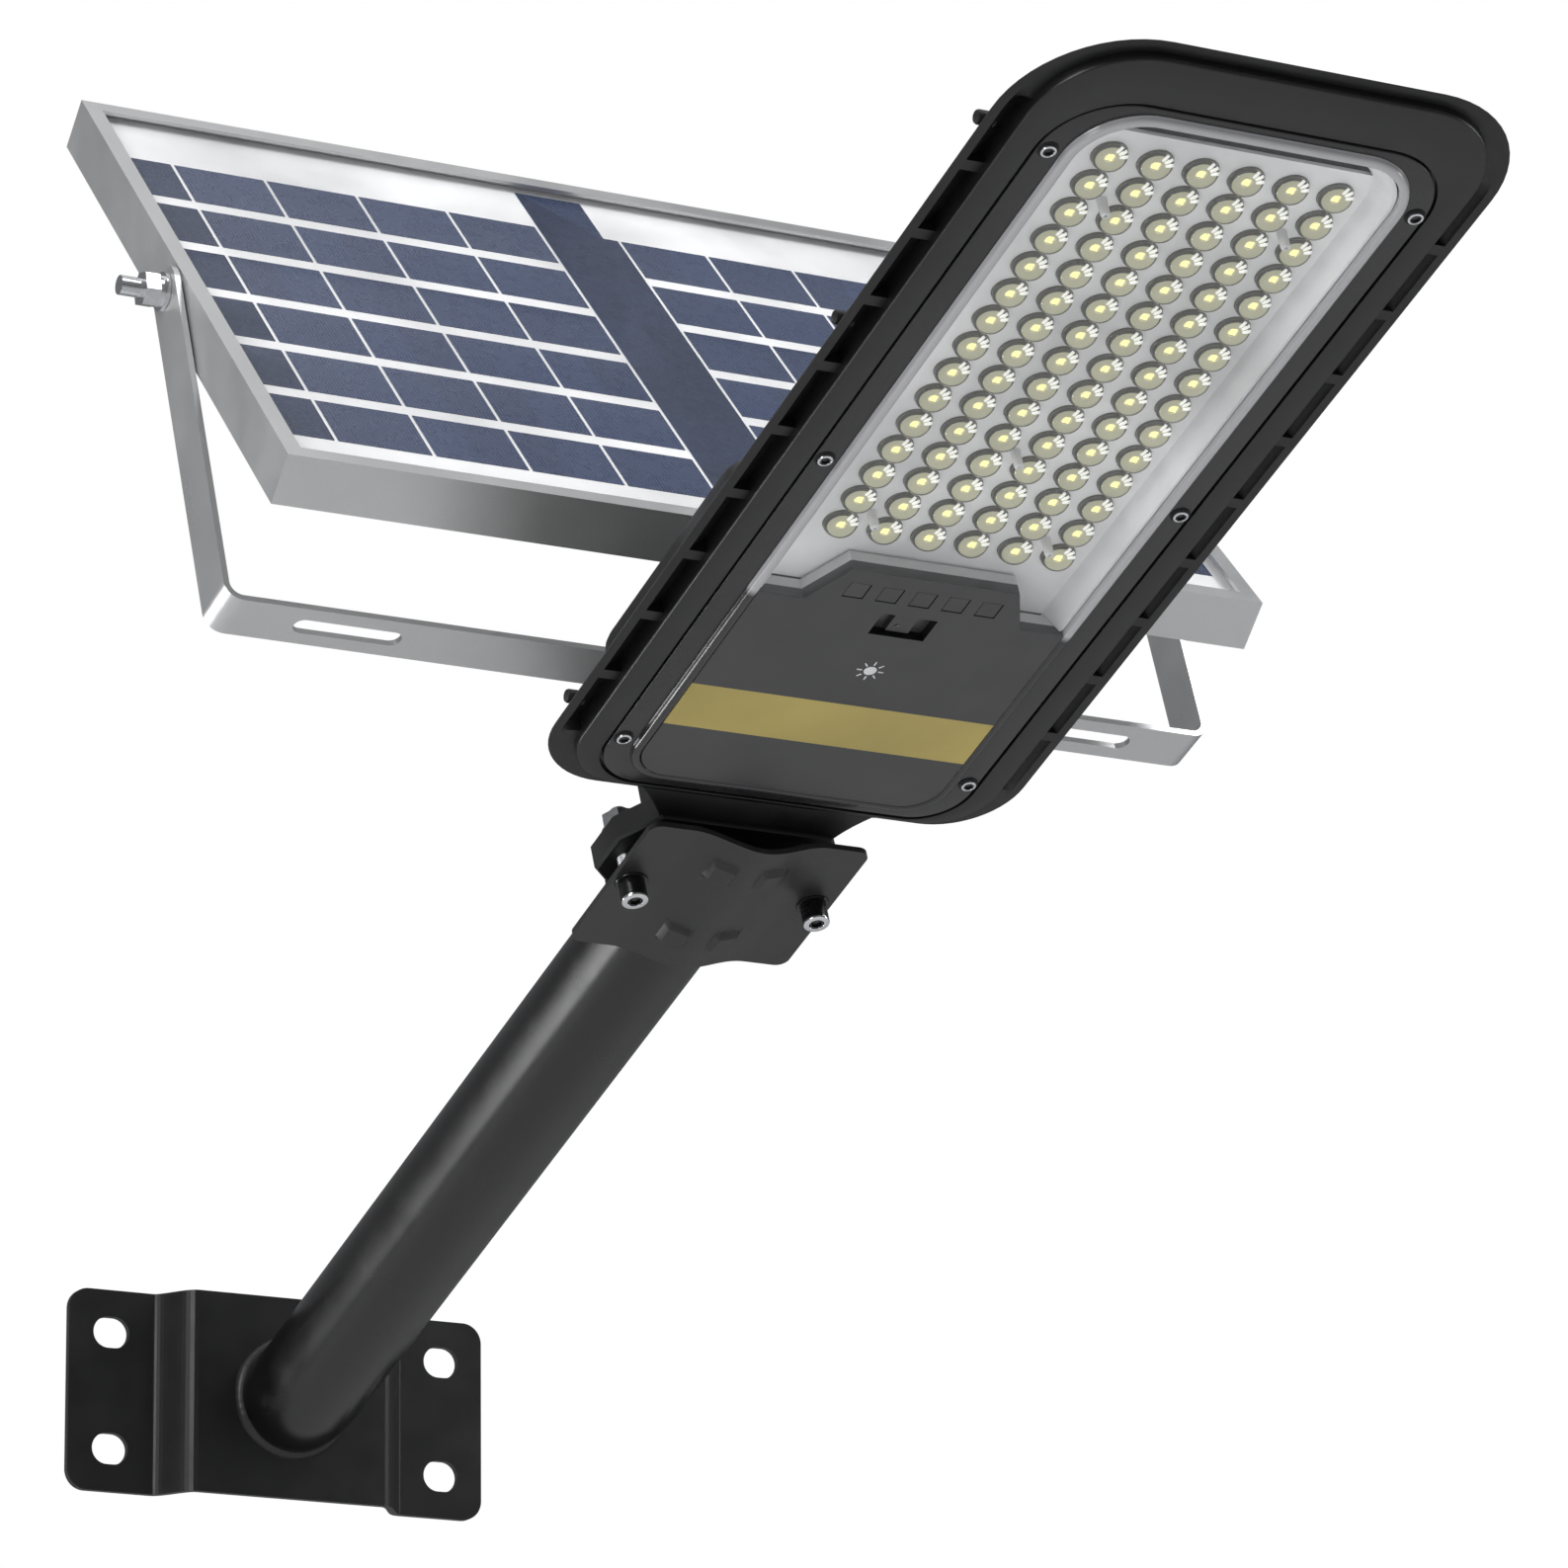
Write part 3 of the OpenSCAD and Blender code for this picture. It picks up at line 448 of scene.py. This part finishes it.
shell_low, shell_high = size("rear_housing", HEAD)
bezel_low, bezel_high = size("front_bezel", HEAD)
rim_x, rim_y, rim_front = shell_high.x, shell_high.y, shell_low.z
RIM_R = (32, 48)                 # the rim's corners at the arm's end and at the tip
RIB_PITCH, RIB_FIRST, RIB_T, RIB_COUNT = 38.6, -199, 5, 11
WALL_FROM, WALL_TO = 0.15, 0.25  # a pocket's end wall stands this far outside its rib
POCKET_DEPTH = 14                # the pockets' reach inwards from the bezel's edge
straight = (RIM_R[0] - rim_y, rim_y - RIM_R[1])


def pocket_share(y):
    """1 inside a scooped pocket, 0 on a rib."""
    along = (y - RIB_FIRST) % RIB_PITCH
    rib = RIB_T / 2 + (WALL_FROM + WALL_TO) / 2
    inside = rib < along < RIB_PITCH - rib
    return float(inside and RIB_FIRST < y < RIB_FIRST + RIB_PITCH * (RIB_COUNT - 1))


def pocket_runs():
    """Fractions of the straight side at which the pockets' end walls stand."""
    stops = [0.0]
    for i in range(RIB_COUNT):
        for offset in (-RIB_T / 2 - WALL_TO, -RIB_T / 2 - WALL_FROM,
                       RIB_T / 2 + WALL_FROM, RIB_T / 2 + WALL_TO):
            y = RIB_FIRST + i * RIB_PITCH + offset
            share = (y - straight[0]) / (straight[1] - straight[0])
            if 0.001 < share < 0.999:
                stops.append(share)
    return (*stops, 1.0)


RUNS = pocket_runs()


def rim_ring(inset, z, scoop=0.0):
    """Ring of the housing drawn in from the rim, deeper inside the pockets."""
    points = outline(rim_x - inset, (inset - rim_y, rim_y - inset), RIM_R[0] - inset,
                     RIM_R[1] - inset, RUNS)
    return [Vector((px, py, z + scoop * pocket_share(py) * (abs(px) > bezel_high.x - POCKET_DEPTH)))
            for px, py in points]


def slope_ring(inset, base, tip, radii, z):
    """Ring of the housing with its own inset at the sides, the arm's end and the tip."""
    return level(outline(rim_x - inset, (base - rim_y, rim_y - tip), *radii, RUNS), z)


def housing():
    """Rear shell: inside, scooped rim, sloping outside, hump over the neck, and small fittings."""
    mesh = bmesh.new()
    inside = ((25, 23, 40, (20, 32), 26), (18.5, 12, 27, (23, 36), 17),
              (14.3, 8, 13.5, (23, 37), 8), (14.3, 8, 11.5, (23, 38), 1))
    scoops = ((11.6, 0), (11.5, 5.9), (10, 5.2), (8.4, 4.3), (6.6, 2.9), (5.2, 1.6), (4.2, 0.4),
              (4.0, 0), (0.4, 0))
    lip = ((0.1, 0.1), (0, 0.3))
    crest = ((19.4, 13, 30.5, (24, 37), 25), (21.4, 18, 34.5, (23, 35), 28.2),
             (23, 21.5, 37, (22, 34), 30), (24.8, 24, 39.5, (20, 32), 30.5))
    rings = [slope_ring(*row) for row in inside]
    rings += [rim_ring(inset, rim_front, depth) for inset, depth in scoops]
    rings += [rim_ring(inset, rim_front + rise) for inset, rise in lip]
    for t in (0, 0.12, 0.37, 0.6, 0.8, 1.0):
        rings.append(slope_ring(0.3 + 15.6 * t, 0.2 + 8 * t, 0.4 + 24.4 * t,
                                (RIM_R[0] - 6 * t, RIM_R[1] - 8 * t), 1.6 + 18.4 * t))
    rings += [slope_ring(*row) for row in crest]
    skin(mesh, rings)

    hump_top, buried_to = 49, 30
    hump = ((81, -218, -66, 20, 18, 10), (74.6, -209, -72, 17, 15, 42),
            (74, -208, -73, 16.5, 14.5, 46), (73, -206.6, -74.4, 16, 14, 48),
            (71.4, -205, -76, 15, 13, 48.85), (69, -203, -78, 13, 11, hump_top))
    stretch = shell_high.z / hump_top
    skin(mesh, [level(outline(x, (y0, y1), base_r, tip_r), z * stretch if z > buried_to else z)
                for x, y0, y1, base_r, tip_r, z in hump])

    pad_x, pad_end, pad_top = 52, -200, 36
    pad = [(-pad_x, -rim_y), (pad_x, -rim_y), (pad_x, pad_end), (-pad_x, pad_end)]
    skin(mesh, [level(pad, rim_front), level(pad, pad_top)])

    rivet_y, rivet_z, rivet_foot = (-184, 53, 167), 7, 8
    for side in (-1, 1):
        for y in rivet_y:
            turn = Matrix.Rotation(side * math.pi / 2, 4, "Y")
            lathe(mesh, at(side * (rim_x - rivet_foot), y, rivet_z) @ turn,
                  ((2.8, 0), (2.8, 6.4), (2.4, 7.1), (1.2, 7.4)), 24)
    gland_seat = at(-62, -208, 22) @ Matrix.Rotation(math.pi / 2, 4, "X")
    lathe(mesh, gland_seat, ((8.5, 0), (8.5, 15.5), (7.5, 17)), 32)
    piece("head_shell", mesh, HEAD, "head", "black_moulding", "rear_housing", angle=40)


def drawn_in(shape, inset, z):
    """Ring of an outline drawn in by the same amount all round, or let out if it is negative."""
    x, (near, far), base_r, tip_r = shape
    return level(outline(x - inset, (near + inset, far - inset), base_r - inset, tip_r - inset), z)


def bezel():
    """Flat frame round the cover, with the recess that the cover's flange lies in."""
    edge = (bezel_high.x, (bezel_low.y, bezel_high.y), 26, 38)
    recess = (81.6, (-219.7, 198.2), 22, 32)
    recess_z = -0.5
    inner = outline(72, (-214, 190), 16, 26)
    rings = [drawn_in(edge, inset, z)
             for inset, z in ((0, rim_front), (0, -1.9), (0.15, -2.5), (0.5, -2.86),
                              (1.0, FACE_Z))]
    rings += [drawn_in(recess, inset, z)
              for inset, z in ((-0.35, FACE_Z), (-0.1, -2.9), (0, -2.6), (0, recess_z))]
    rings += [level(inner, recess_z), level(inner, rim_front)]
    mesh = bmesh.new()
    skin(mesh, rings, closed=True)
    piece("bezel_ring", mesh, HEAD, "head", "bezel_black", "front_bezel", angle=50)


def bead_look():
    """Glossy moulded bead: light where it borders the diodes, dark around the controls."""
    light, dark = (0.5, 0.5, 0.52), (0.03, 0.03, 0.032)
    look = Look("bead_gloss", light, 0.12)
    where = look.node("ShaderNodeSeparateXYZ")
    look.link(look.place(), where.inputs[0])
    foot = size("reflector_frame", HEAD)[0].y * MM
    share = look.spread(where.outputs["Y"], 0, 1, (foot - 2 * MM, foot + 2 * MM))
    look.colour(look.blend(share, dark, light))
    look.rough(look.spread(look.noise(60, 3), 0.1, 0.16))
    return look.material


def cover_ring():
    """Flange of the clear cover and the moulded bead that stands on it."""
    flange = (80.4, (-218.5, 197), 21, 30)
    bead = (70, (-213, 193.5), 18, 27)
    flange_back = -1.5
    mesh = bmesh.new()
    rings = [drawn_in(flange, inset, z)
             for inset, z in ((0, flange_back), (0, -2.5), (0.15, -2.85), (0.5, FACE_Z))]
    rings += [drawn_in(bead, -0.35, FACE_Z), drawn_in(bead, -0.35, flange_back)]
    skin(mesh, rings, closed=True)
    piece("cover_flange", mesh, HEAD, "head", "cover_dark", "cover_frame", angle=50)
    mesh = bmesh.new()
    skin(mesh, [drawn_in(bead, inset, z)
                for inset, z in ((-0.3, -1.6), (-0.3, -3.05), (-0.05, -3.3), (0, -3.8),
                                 (0.15, -4.6), (0.6, -5.2), (1.4, -5.46), (2.4, -5.5),
                                 (3.3, -5.25), (3.65, -4.8), (3.65, -1.6))], closed=True)
    piece("cover_bead", mesh, HEAD, "head", "cover_dark", angle=60, material=bead_look())


def diodes():
    """Lenses with the yellow die under each, and their painted reflections: a grey cone, a dark cup and the
    glints.
    """
    chips = parts_of("led_chips", HEAD)
    domes, dies, cups, grey_rings, glints = (bmesh.new() for _ in range(5))
    base = chips[0][0].z - 0.1
    dome_r, dome_centre = 7.2, 5.8
    arc = [(6.75, base - 0.05), (6.8, base - 0.5)]
    arc += [(dome_r * math.sin(a), dome_centre - dome_r * math.cos(a))
            for a in (math.radians(v) for v in range(70, 0, -8))]
    die_share, die_taper = 0.28, 0.86
    # The dark cup and the grey cone are rings of painted reflection under each lens.
    dark_ring_r, dark_ring_hole, grey_ring_r = 6.95, 4.3, 4.2
    glint = ((2.6, -0.3), (5.7, -0.55), (5.7, 0.55), (2.6, 0.3))
    for low, high in chips:
        centre = (low + high) / 2
        place = at(centre.x, centre.y, 0)
        lathe(domes, place, [(6.2, base)] + arc, 36)
        half = (high.x - low.x) * die_share
        die = [(centre.x + sx * half, centre.y + sy * half)
               for sx, sy in ((-1, -1), (1, -1), (1, 1), (-1, 1))]
        inner = [(centre.x + (px - centre.x) * die_taper, centre.y + (py - centre.y) * die_taper)
                 for px, py in die]
        skin(dies, [level(die, high.z), level(die, low.z - 0.45), level(inner, low.z - 0.6)])
        lathe(cups, place, ((dark_ring_hole, high.z), (dark_ring_r, high.z), (dark_ring_r, high.z - 0.3),
                            (6.3, base - 0.1), (dark_ring_hole, base - 0.2)), 36, closed=True)
        lathe(grey_rings, place, ((1.3, high.z), (grey_ring_r, high.z), (grey_ring_r, base - 0.15),
                             (1.6, base - 0.4)), 30, closed=True)
        for angle in (112, 138, 164):
            turned = place @ Matrix.Rotation(math.radians(angle), 4, "Z")
            skin(glints, [[turned @ Vector((px, py, z)) for px, py in glint]
                          for z in (base - 0.1, base - 0.55)])
    piece("diode_domes", domes, HEAD, "head", "lens_clear", "led_lenses", angle=60)
    piece("diode_dies", dies, HEAD, "head", "diode_yellow", "led_chips")
    # Painted reflections: the dark cups, grey cones and white glints glow a little under the lenses.
    piece("diode_dark_reflections", cups, HEAD, "head", "lens_clear", material=MATERIALS["dark_lens_reflection"])
    piece("diode_grey_reflections", grey_rings, HEAD, "head", "lens_clear", material=MATERIALS["grey_lens_reflection"])
    piece("diode_glints", glints, HEAD, "head", "lens_clear", material=MATERIALS["glint_white"])
    posts = bmesh.new()
    for low, high in parts_of("lens_posts", HEAD):
        centre = (low + high) / 2
        radius = (high.x - low.x) / 2
        lathe(posts, at(centre.x, centre.y, 0),
              ((radius, high.z), (radius * 0.9, low.z + 0.7), (radius * 0.75, low.z + 0.2),
               (radius * 0.4, low.z)), 28)
    piece("cover_posts", posts, HEAD, "head", "lens_clear", "lens_posts", angle=60,
          material=MATERIALS["board_white"])


def socket_screws(body, rims, cups, place, head_r, height, flats, turn=0.0):
    """Socket head on local z = 0: its body, the rim on its end, and the dark cup in it, which is painted shade
    where the head is bright.
    """
    across = flats / 2 / math.cos(math.pi / 6)
    rim_from = height - 1.1
    lathe(body, place, ((head_r * 0.2, 0), (head_r, 0), (head_r, rim_from), (0.3, rim_from)), 36)
    lathe(rims, place, ((head_r, rim_from), (head_r, height - 0.5),
                        (head_r - 0.15, height - 0.15), (head_r - 0.5, height),
                        (across + 0.25, height), (across + 0.1, height - 0.2),
                        (across + 0.1, rim_from)), 36, closed=True)
    lathe(cups, place, ((across, height * 0.47), (across, height - 0.12),
                        (across * 0.82, height - 0.12), (across * 0.78, height * 0.5)),
          6, closed=True, turn=turn)
    lathe(cups, place, ((across * 0.8, height * 0.47), (across * 0.8, height * 0.52)), 6,
          turn=turn)


def screws():
    """The cover's socket screws, each on a rubber seat."""
    heads, cups, seats = bmesh.new(), bmesh.new(), bmesh.new()
    for number, (low, high) in enumerate(parts_of("cover_screws", HEAD)):
        centre = (low + high) / 2
        place = at(centre.x, centre.y, FACE_Z) @ FLIP
        socket_screws(heads, heads, cups, place, 3.1, 1.5, 3.4, turn=number * 0.7)
        lathe(heads, place, ((1.9, -14), (1.9, 0.2)), 20)
        lathe(seats, place, ((3.15, 0), (4.05, 0), (4.0, 0.35), (3.2, 0.35)), 36, closed=True)
    piece("flange_screws", heads, HEAD, "head", "bright_steel", "cover_screws", angle=40)
    # The black cups are painted shade in the sockets of the bright screws.
    piece("flange_socket_shade", cups, HEAD, "head", "black_satin", angle=30)
    piece("flange_seats", seats, HEAD, "head", "gasket_rubber", angle=40)


def sun_mark():
    """Printed pictogram on the control cover, in place of the lettering."""
    cover_front = size("control_cover", HEAD)[0].z
    button = size("power_button", HEAD)[0]
    place = at(0, button.y - 22, cover_front) @ FLIP
    mesh = bmesh.new()
    lathe(mesh, place, ((2.6, -0.1), (2.6, 0.1), (2.5, 0.14)), 32)
    for i in range(8):
        ray = place @ Matrix.Rotation(math.tau * i / 8, 4, "Z") @ at(4.7, 0, 0)
        corners = [ray @ Vector((px, py, 0)) for px, py in ((-1.1, -0.35), (1.1, -0.22),
                                                           (1.1, 0.22), (-1.1, 0.35))]
        skin(mesh, [[c + Vector((0, 0, 0.1)) for c in corners],
                    [c - Vector((0, 0, 0.14)) for c in corners]])
    piece("sun_mark", mesh, HEAD, "head", "control_dark", material=MATERIALS["board_white"])


housing()
bezel()
cover_ring()
diodes()
screws()
sun_mark()

# ---------- arm and clamp ----------


def tube():
    """Bent tube, swept from the wall plate to its open end."""
    low, high = size("arm_tube", ARM)
    radius = (high.x - low.x) / 2
    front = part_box("wall_plate")[0].y / MM
    origin = ARM.translation / MM
    corner = origin - OUT * (origin.z / OUT.z)
    reach = abs(corner.y - front)
    rise = math.asin(OUT.z)
    bend_r = reach / math.tan(rise / 2)
    stations = [(Vector((0, front - bend_r * math.sin(a), bend_r * (1 - math.cos(a)))),
                 Vector((0, -math.cos(a), math.sin(a))))
                for a in (rise * i / 12 for i in range(13))]
    hidden, wall = 26, 2                  # the tube's last part lies in the neck
    end = origin + OUT * (high.y - hidden)
    stations += [(stations[-1][0].lerp(end, t), OUT) for t in (0.1, 0.35, 0.65, 0.9, 1.0)]
    mesh, rings = bmesh.new(), []

    def ring(centre, ahead, r):
        side = Vector((1, 0, 0))
        up = side.cross(ahead)
        return [centre + (side * math.cos(a) + up * math.sin(a)) * r
                for a in (math.tau * i / 72 for i in range(72))]

    for centre, ahead in stations:
        rings.append(ring(centre, ahead, radius))
    for centre, ahead in stations[::-1]:
        rings.append(ring(centre, ahead, radius - wall))
    skin(mesh, rings, closed=True)
    piece("tube_skin", mesh, Matrix.Identity(4), "arm", "black_satin", "arm_bend", "arm_tube")
    return radius, front


def weld(radius, front):
    """Weld bead with the ripples of each pass."""
    mesh, rings, steps = bmesh.new(), [], 180
    place = at(0, front, 0) @ Matrix.Rotation(math.pi / 2, 4, "X")
    for i in range(steps):
        a = math.tau * i / steps
        swell = 0.68 + 0.02 * math.sin(a * 45) + 0.05 * math.sin(a * 7 + 1)
        section = ((-0.6, 0), (4 * swell, 0), (3.1 * swell, 1.6 * swell), (1.6 * swell, 3 * swell),
                   (-0.6, 3.9 * swell))
        rings.append([place @ Vector(((radius + r) * math.cos(a), (radius + r) * math.sin(a), z))
                      for r, z in section])
    skin(mesh, rings, closed=True)
    piece("weld_ripple", mesh, Matrix.Identity(4), "arm", "black_powder", "weld_bead", angle=50)


def clamp():
    """Pressed front plate: arched over the tube, with four raised square studs."""
    low, high = size("clamp_front", ARM)
    mid_y, half_x, half_y = (low.y + high.y) / 2, high.x, (high.y - low.y) / 2
    flat_z, sheet, corner_r = -22.5, 2.5, 5
    arch, arch_x = 7, 30
    stud_x, stud_y, stud_half, stud_wall, stud_rise = 11, 22, 6.0, 1.9, 2.2

    def lines(half, stud, steps):
        """Grid lines across the plate, closer at its corners and at the studs' walls."""
        stops = {round(-half + 2 * half * i / steps, 3) for i in range(steps + 1)}
        for side in (-1, 1):
            stops |= {round(side * (half - v), 3) for v in (0.5, 1.3, 2.4, 3.6, 5)}
            stops |= {side * (stud + v) for v in (-6.1, -5.9, -4.2, -4, 4, 4.2, 5.9, 6.1)}
        return sorted(stops)

    xs, ys = lines(half_x, stud_x, 40), lines(half_y, stud_y, 20)
    columns, rows = len(xs) - 1, len(ys) - 1

    def ease(v):
        v = min(max(v, 0), 1)
        return v * v * (3 - 2 * v)

    def height(x, y):
        z = flat_z - arch * ease(1 - abs(x) / arch_x)
        for dx in (-stud_x, stud_x):
            for dy in (-stud_y, stud_y):
                away = max(abs(x - dx), abs(y - dy))
                z -= stud_rise * min(max((stud_half - away) / stud_wall, 0), 1)
        return z

    def spot(i, j):
        """Grid point, drawn in to the round at the plate's corners."""
        x, y = xs[i], ys[j]
        corner = Vector((abs(x) - half_x + corner_r, abs(y) - half_y + corner_r))
        if corner.x > 0 and corner.y > 0:
            corner *= max(corner) / corner.length
            x = math.copysign(half_x - corner_r + corner.x, x)
            y = math.copysign(half_y - corner_r + corner.y, y)
        return x, y

    mesh = bmesh.new()
    front, back = {}, {}
    for i in range(columns + 1):
        for j in range(rows + 1):
            x, y = spot(i, j)
            z = height(x, y)
            front[i, j] = mesh.verts.new((x, y + mid_y, z))
            back[i, j] = mesh.verts.new((x, y + mid_y, z + sheet))
    for i in range(columns):
        for j in range(rows):
            cell = ((i, j), (i + 1, j), (i + 1, j + 1), (i, j + 1))
            mesh.faces.new([front[c] for c in cell])
            mesh.faces.new([back[c] for c in cell][::-1])
    border = [(i, 0) for i in range(columns)] + [(columns, j) for j in range(rows)]
    border += [(i, rows) for i in range(columns, 0, -1)] + [(0, j) for j in range(rows, 0, -1)]
    for a, b in zip(border, border[1:] + border[:1]):
        mesh.faces.new((front[a], front[b], back[b], back[a]))
    piece("clamp_plate", mesh, ARM, "head", "grey_satin", "clamp_front", angle=28)


def clamp_screws():
    """Clamp bolts: black socket heads with bright rims, their washers and the threaded ends."""
    head_height, washer = 9.6, 0.8
    thread_r, root_r, thread_pitch = 4.0, 3.5, 1.25
    heads, rims, cups, ridges = (bmesh.new() for _ in range(4))
    for number, (low, high) in enumerate(parts_of("clamp_bolts", ARM)):
        centre = (low + high) / 2
        foot = low.z + head_height
        socket_screws(heads, rims, cups, at(centre.x, centre.y, foot) @ FLIP, 5.4, head_height, 5,
                      turn=number)
        lathe(heads, at(centre.x, centre.y, foot - washer),
              ((4.2, 0), (6.6, 0), (6.8, 0.3), (6.8, washer), (4.2, washer)), 36, closed=True)
        thread = [(thread_r, foot + 0.1)]
        while thread[-1][1] < high.z - 1.3:
            z = thread[-1][1]
            thread += [(root_r, z + 0.62), (thread_r, z + thread_pitch)]
        lathe(ridges, at(centre.x, centre.y, 0), thread + [(3.3, high.z)], 28)
    piece("clamp_socket_bolts", heads, ARM, "head", "black_satin", "clamp_bolts", angle=40)
    piece("clamp_bolt_rims", rims, ARM, "head", "bright_steel", angle=40)
    piece("clamp_socket_cups", cups, ARM, "head", "black_satin")
    piece("clamp_threads", ridges, ARM, "head", "bright_steel", angle=20)


def neck():
    """Cast neck: flare to the head, half collar, ear behind the clamp plate, bracket boss."""
    low, high = size("neck_saddle", ARM)
    end = high.y
    length, narrow, widening = 37, 31, 21    # the flare, from the clamp to the head
    mesh = bmesh.new()
    flare = [(narrow + widening * t ** 2.3, end - length * (1 - t))
             for t in (i / 14 for i in range(15))]
    around = flare + [(-x, y) for x, y in flare[::-1]]
    tall, inset = 28, 1.2

    def foot(y):
        """The flare's underside rises from the clamp towards the head."""
        return -20 + 14 * min(max((y - end + length) / length, 0), 1) ** 0.8

    rows = [(0, inset), (0.4, inset * 0.35), (inset, 0)]
    rings = [[Vector((x - math.copysign(drawn, x), y, foot(y) + dz)) for x, y in around]
             for dz, drawn in rows]
    rings += [[Vector((x - math.copysign(drawn, x), y, tall - dz)) for x, y in around]
              for dz, drawn in rows[::-1]]
    skin(mesh, rings)
    ear = [(-50, -10), (-41, -18), (41, -18), (50, -10), (50, 11), (38, 29), (-38, 29), (-50, 11)]
    ear_y = 5
    skin(mesh, [[Vector((x * k, ear_y + (y - ear_y) * k, z)) for x, y in ear]
                for z, k in ((-11, 0.975), (-10, 1), (0, 1), (1, 0.975))])
    collar_r, bore_r, collar_end = 31.5, 25.1, end - 20
    angles = [math.radians(-25 + 230 * i / 36) for i in range(37)]
    section = [(collar_r * math.cos(a), collar_r * math.sin(a)) for a in angles]
    section += [(bore_r * math.cos(a), bore_r * math.sin(a)) for a in angles[::-1]]
    skin(mesh, [[Vector((x * k, y, z * k)) for x, z in section]
                for y, k in ((low.y, 0.985), (low.y + 0.6, 1), (collar_end, 1))])
    boss_r, boss_z, bolt_r = 16.4, 20, 7.5
    lathe(mesh, at(0, size("pan_bolt", ARM)[0].y + bolt_r, boss_z),
          ((boss_r, 0), (boss_r, 30), (15.5, high.z - boss_z - 0.6), (14.9, high.z - boss_z)), 48)
    piece("neck_casting", mesh, ARM, "head", "black_moulding", "neck_saddle", angle=34)


weld(*tube())
neck()
clamp()
clamp_screws()

# ---------- the CAD nodes that stay take their finishes ----------

# Width in millimetres of the fine rounding on the edges of each node that is seen close to.
FINE_EDGES = {"wall_plate": 0.7, "control_cover": 0.35, "lens_cover": 0.3,
              "power_button": 0.3, "u_bracket": 0.5, "frame_top": 0.35, "frame_bottom": 0.35,
              "frame_left": 0.35, "frame_right": 0.35, "pivot_nuts": 0.4, "clamp_nuts": 0.4,
              "pan_bolt": 0.4, "head_gland": 0.4, "junction_box": 0.8, "junction_lid": 0.6,
              "junction_gland": 0.3, "pivot_washers": 0.25}
for entry in frame["record"]["subparts"]:
    node = NODES[entry["node"]]
    node.data.materials.clear()
    node.data.materials.append(MATERIALS[entry["material_slot"]])
    if entry["node"] in FINE_EDGES:
        soften(node, FINE_EDGES[entry["node"]] * MM)

# ---------- studio ----------

CENTRE = (Vector(cad_box[0]) + Vector(cad_box[1])) / 2


def softbox(name, direction, distance, width, height, power):
    """Area light that faces the object's centre from a direction."""
    data = bpy.data.lights.new(name, "AREA")
    data.shape = "RECTANGLE"
    data.size = width
    data.size_y = height
    data.energy = power
    lamp = bpy.data.objects.new(name, data)
    bpy.context.scene.collection.objects.link(lamp)
    lamp.location = CENTRE + Vector(direction).normalized() * distance
    lamp.rotation_euler = (-Vector(direction)).to_track_quat("-Z", "Y").to_euler()
    lamp.visible_camera = False


softbox("key_left", (-1.0, -0.5, 0.35), 2.4, 0.8, 2.2, 34)
softbox("strip_behind", (-0.72, 0.64, -0.22), 2.4, 0.22, 1.5, 15)
softbox("rim_right", (1.0, -0.35, 0.2), 2.4, 0.4, 2.4, 14)
softbox("tip_sky", (0.45, -0.47, 0.76), 2.4, 1.1, 1.1, 26)
softbox("front_low", (-0.25, -1.0, -0.75), 3.0, 1.6, 1.0, 26)
softbox("top", (-0.2, 0.1, 1.0), 2.6, 2.4, 2.4, 22)

# Soft grey light from all round, and a plain white page behind the lamp.
world = bpy.data.worlds.new("studio")
bpy.context.scene.world = world
world.use_nodes = True
_tree = world.node_tree
_sky = _tree.nodes["Background"]
_sky.inputs["Color"].default_value = (0.62, 0.63, 0.65, 1)
_sky.inputs["Strength"].default_value = 0.3
_page = _tree.nodes.new("ShaderNodeBackground")
_page.inputs["Color"].default_value = (1, 1, 1, 1)
_page.inputs["Strength"].default_value = 1.0
_rays = _tree.nodes.new("ShaderNodeLightPath")
_mix = _tree.nodes.new("ShaderNodeMixShader")
_tree.links.new(_rays.outputs["Is Camera Ray"], _mix.inputs[0])
_tree.links.new(_sky.outputs[0], _mix.inputs[1])
_tree.links.new(_page.outputs[0], _mix.inputs[2])
_tree.links.new(_mix.outputs[0], _tree.nodes["World Output"].inputs["Surface"])

FLOOR_DROP = 1.15    # the floor lies this far below the lamp


def floor():
    """Wide pale ground."""
    mesh = bmesh.new()
    bmesh.ops.create_grid(mesh, x_segments=2, y_segments=2, size=30)
    data = bpy.data.meshes.new("floor")
    mesh.to_mesh(data)
    made = bpy.data.objects.new("floor", data)
    made.location = (CENTRE.x, CENTRE.y, cad_box[0][2] - FLOOR_DROP)
    bpy.context.scene.collection.objects.link(made)
    look = Look("floor_pale", (0.86, 0.86, 0.86), 0.8, Emission_Color=(1, 1, 1, 1),
                Emission_Strength=0.05)
    data.materials.append(look.material)


floor()

# The camera stands low in front of the arm's left side and looks up at the lamp.
CAMERA_AT = Vector((-1.253108, -2.867573, -0.637564))
CAMERA_RIGHT = Vector((0.886095, -0.463297, -0.013831))
CAMERA_FORWARD = Vector((0.447782, 0.847953, 0.283668))
LENS_MM, SENSOR_MM = 163.575, 36


def camera():
    data = bpy.data.cameras.new("camera")
    data.lens = LENS_MM
    data.sensor_width = SENSOR_MM
    data.clip_start = 0.05
    made = bpy.data.objects.new("camera", data)
    bpy.context.scene.collection.objects.link(made)
    back = -CAMERA_FORWARD.normalized()
    right = CAMERA_RIGHT.normalized()
    upward = back.cross(right).normalized()
    right = upward.cross(back)
    made.matrix_world = local_frame(CAMERA_AT, right, upward, back)
    bpy.context.scene.camera = made


camera()
bpy.context.scene.view_settings.view_transform = "Standard"
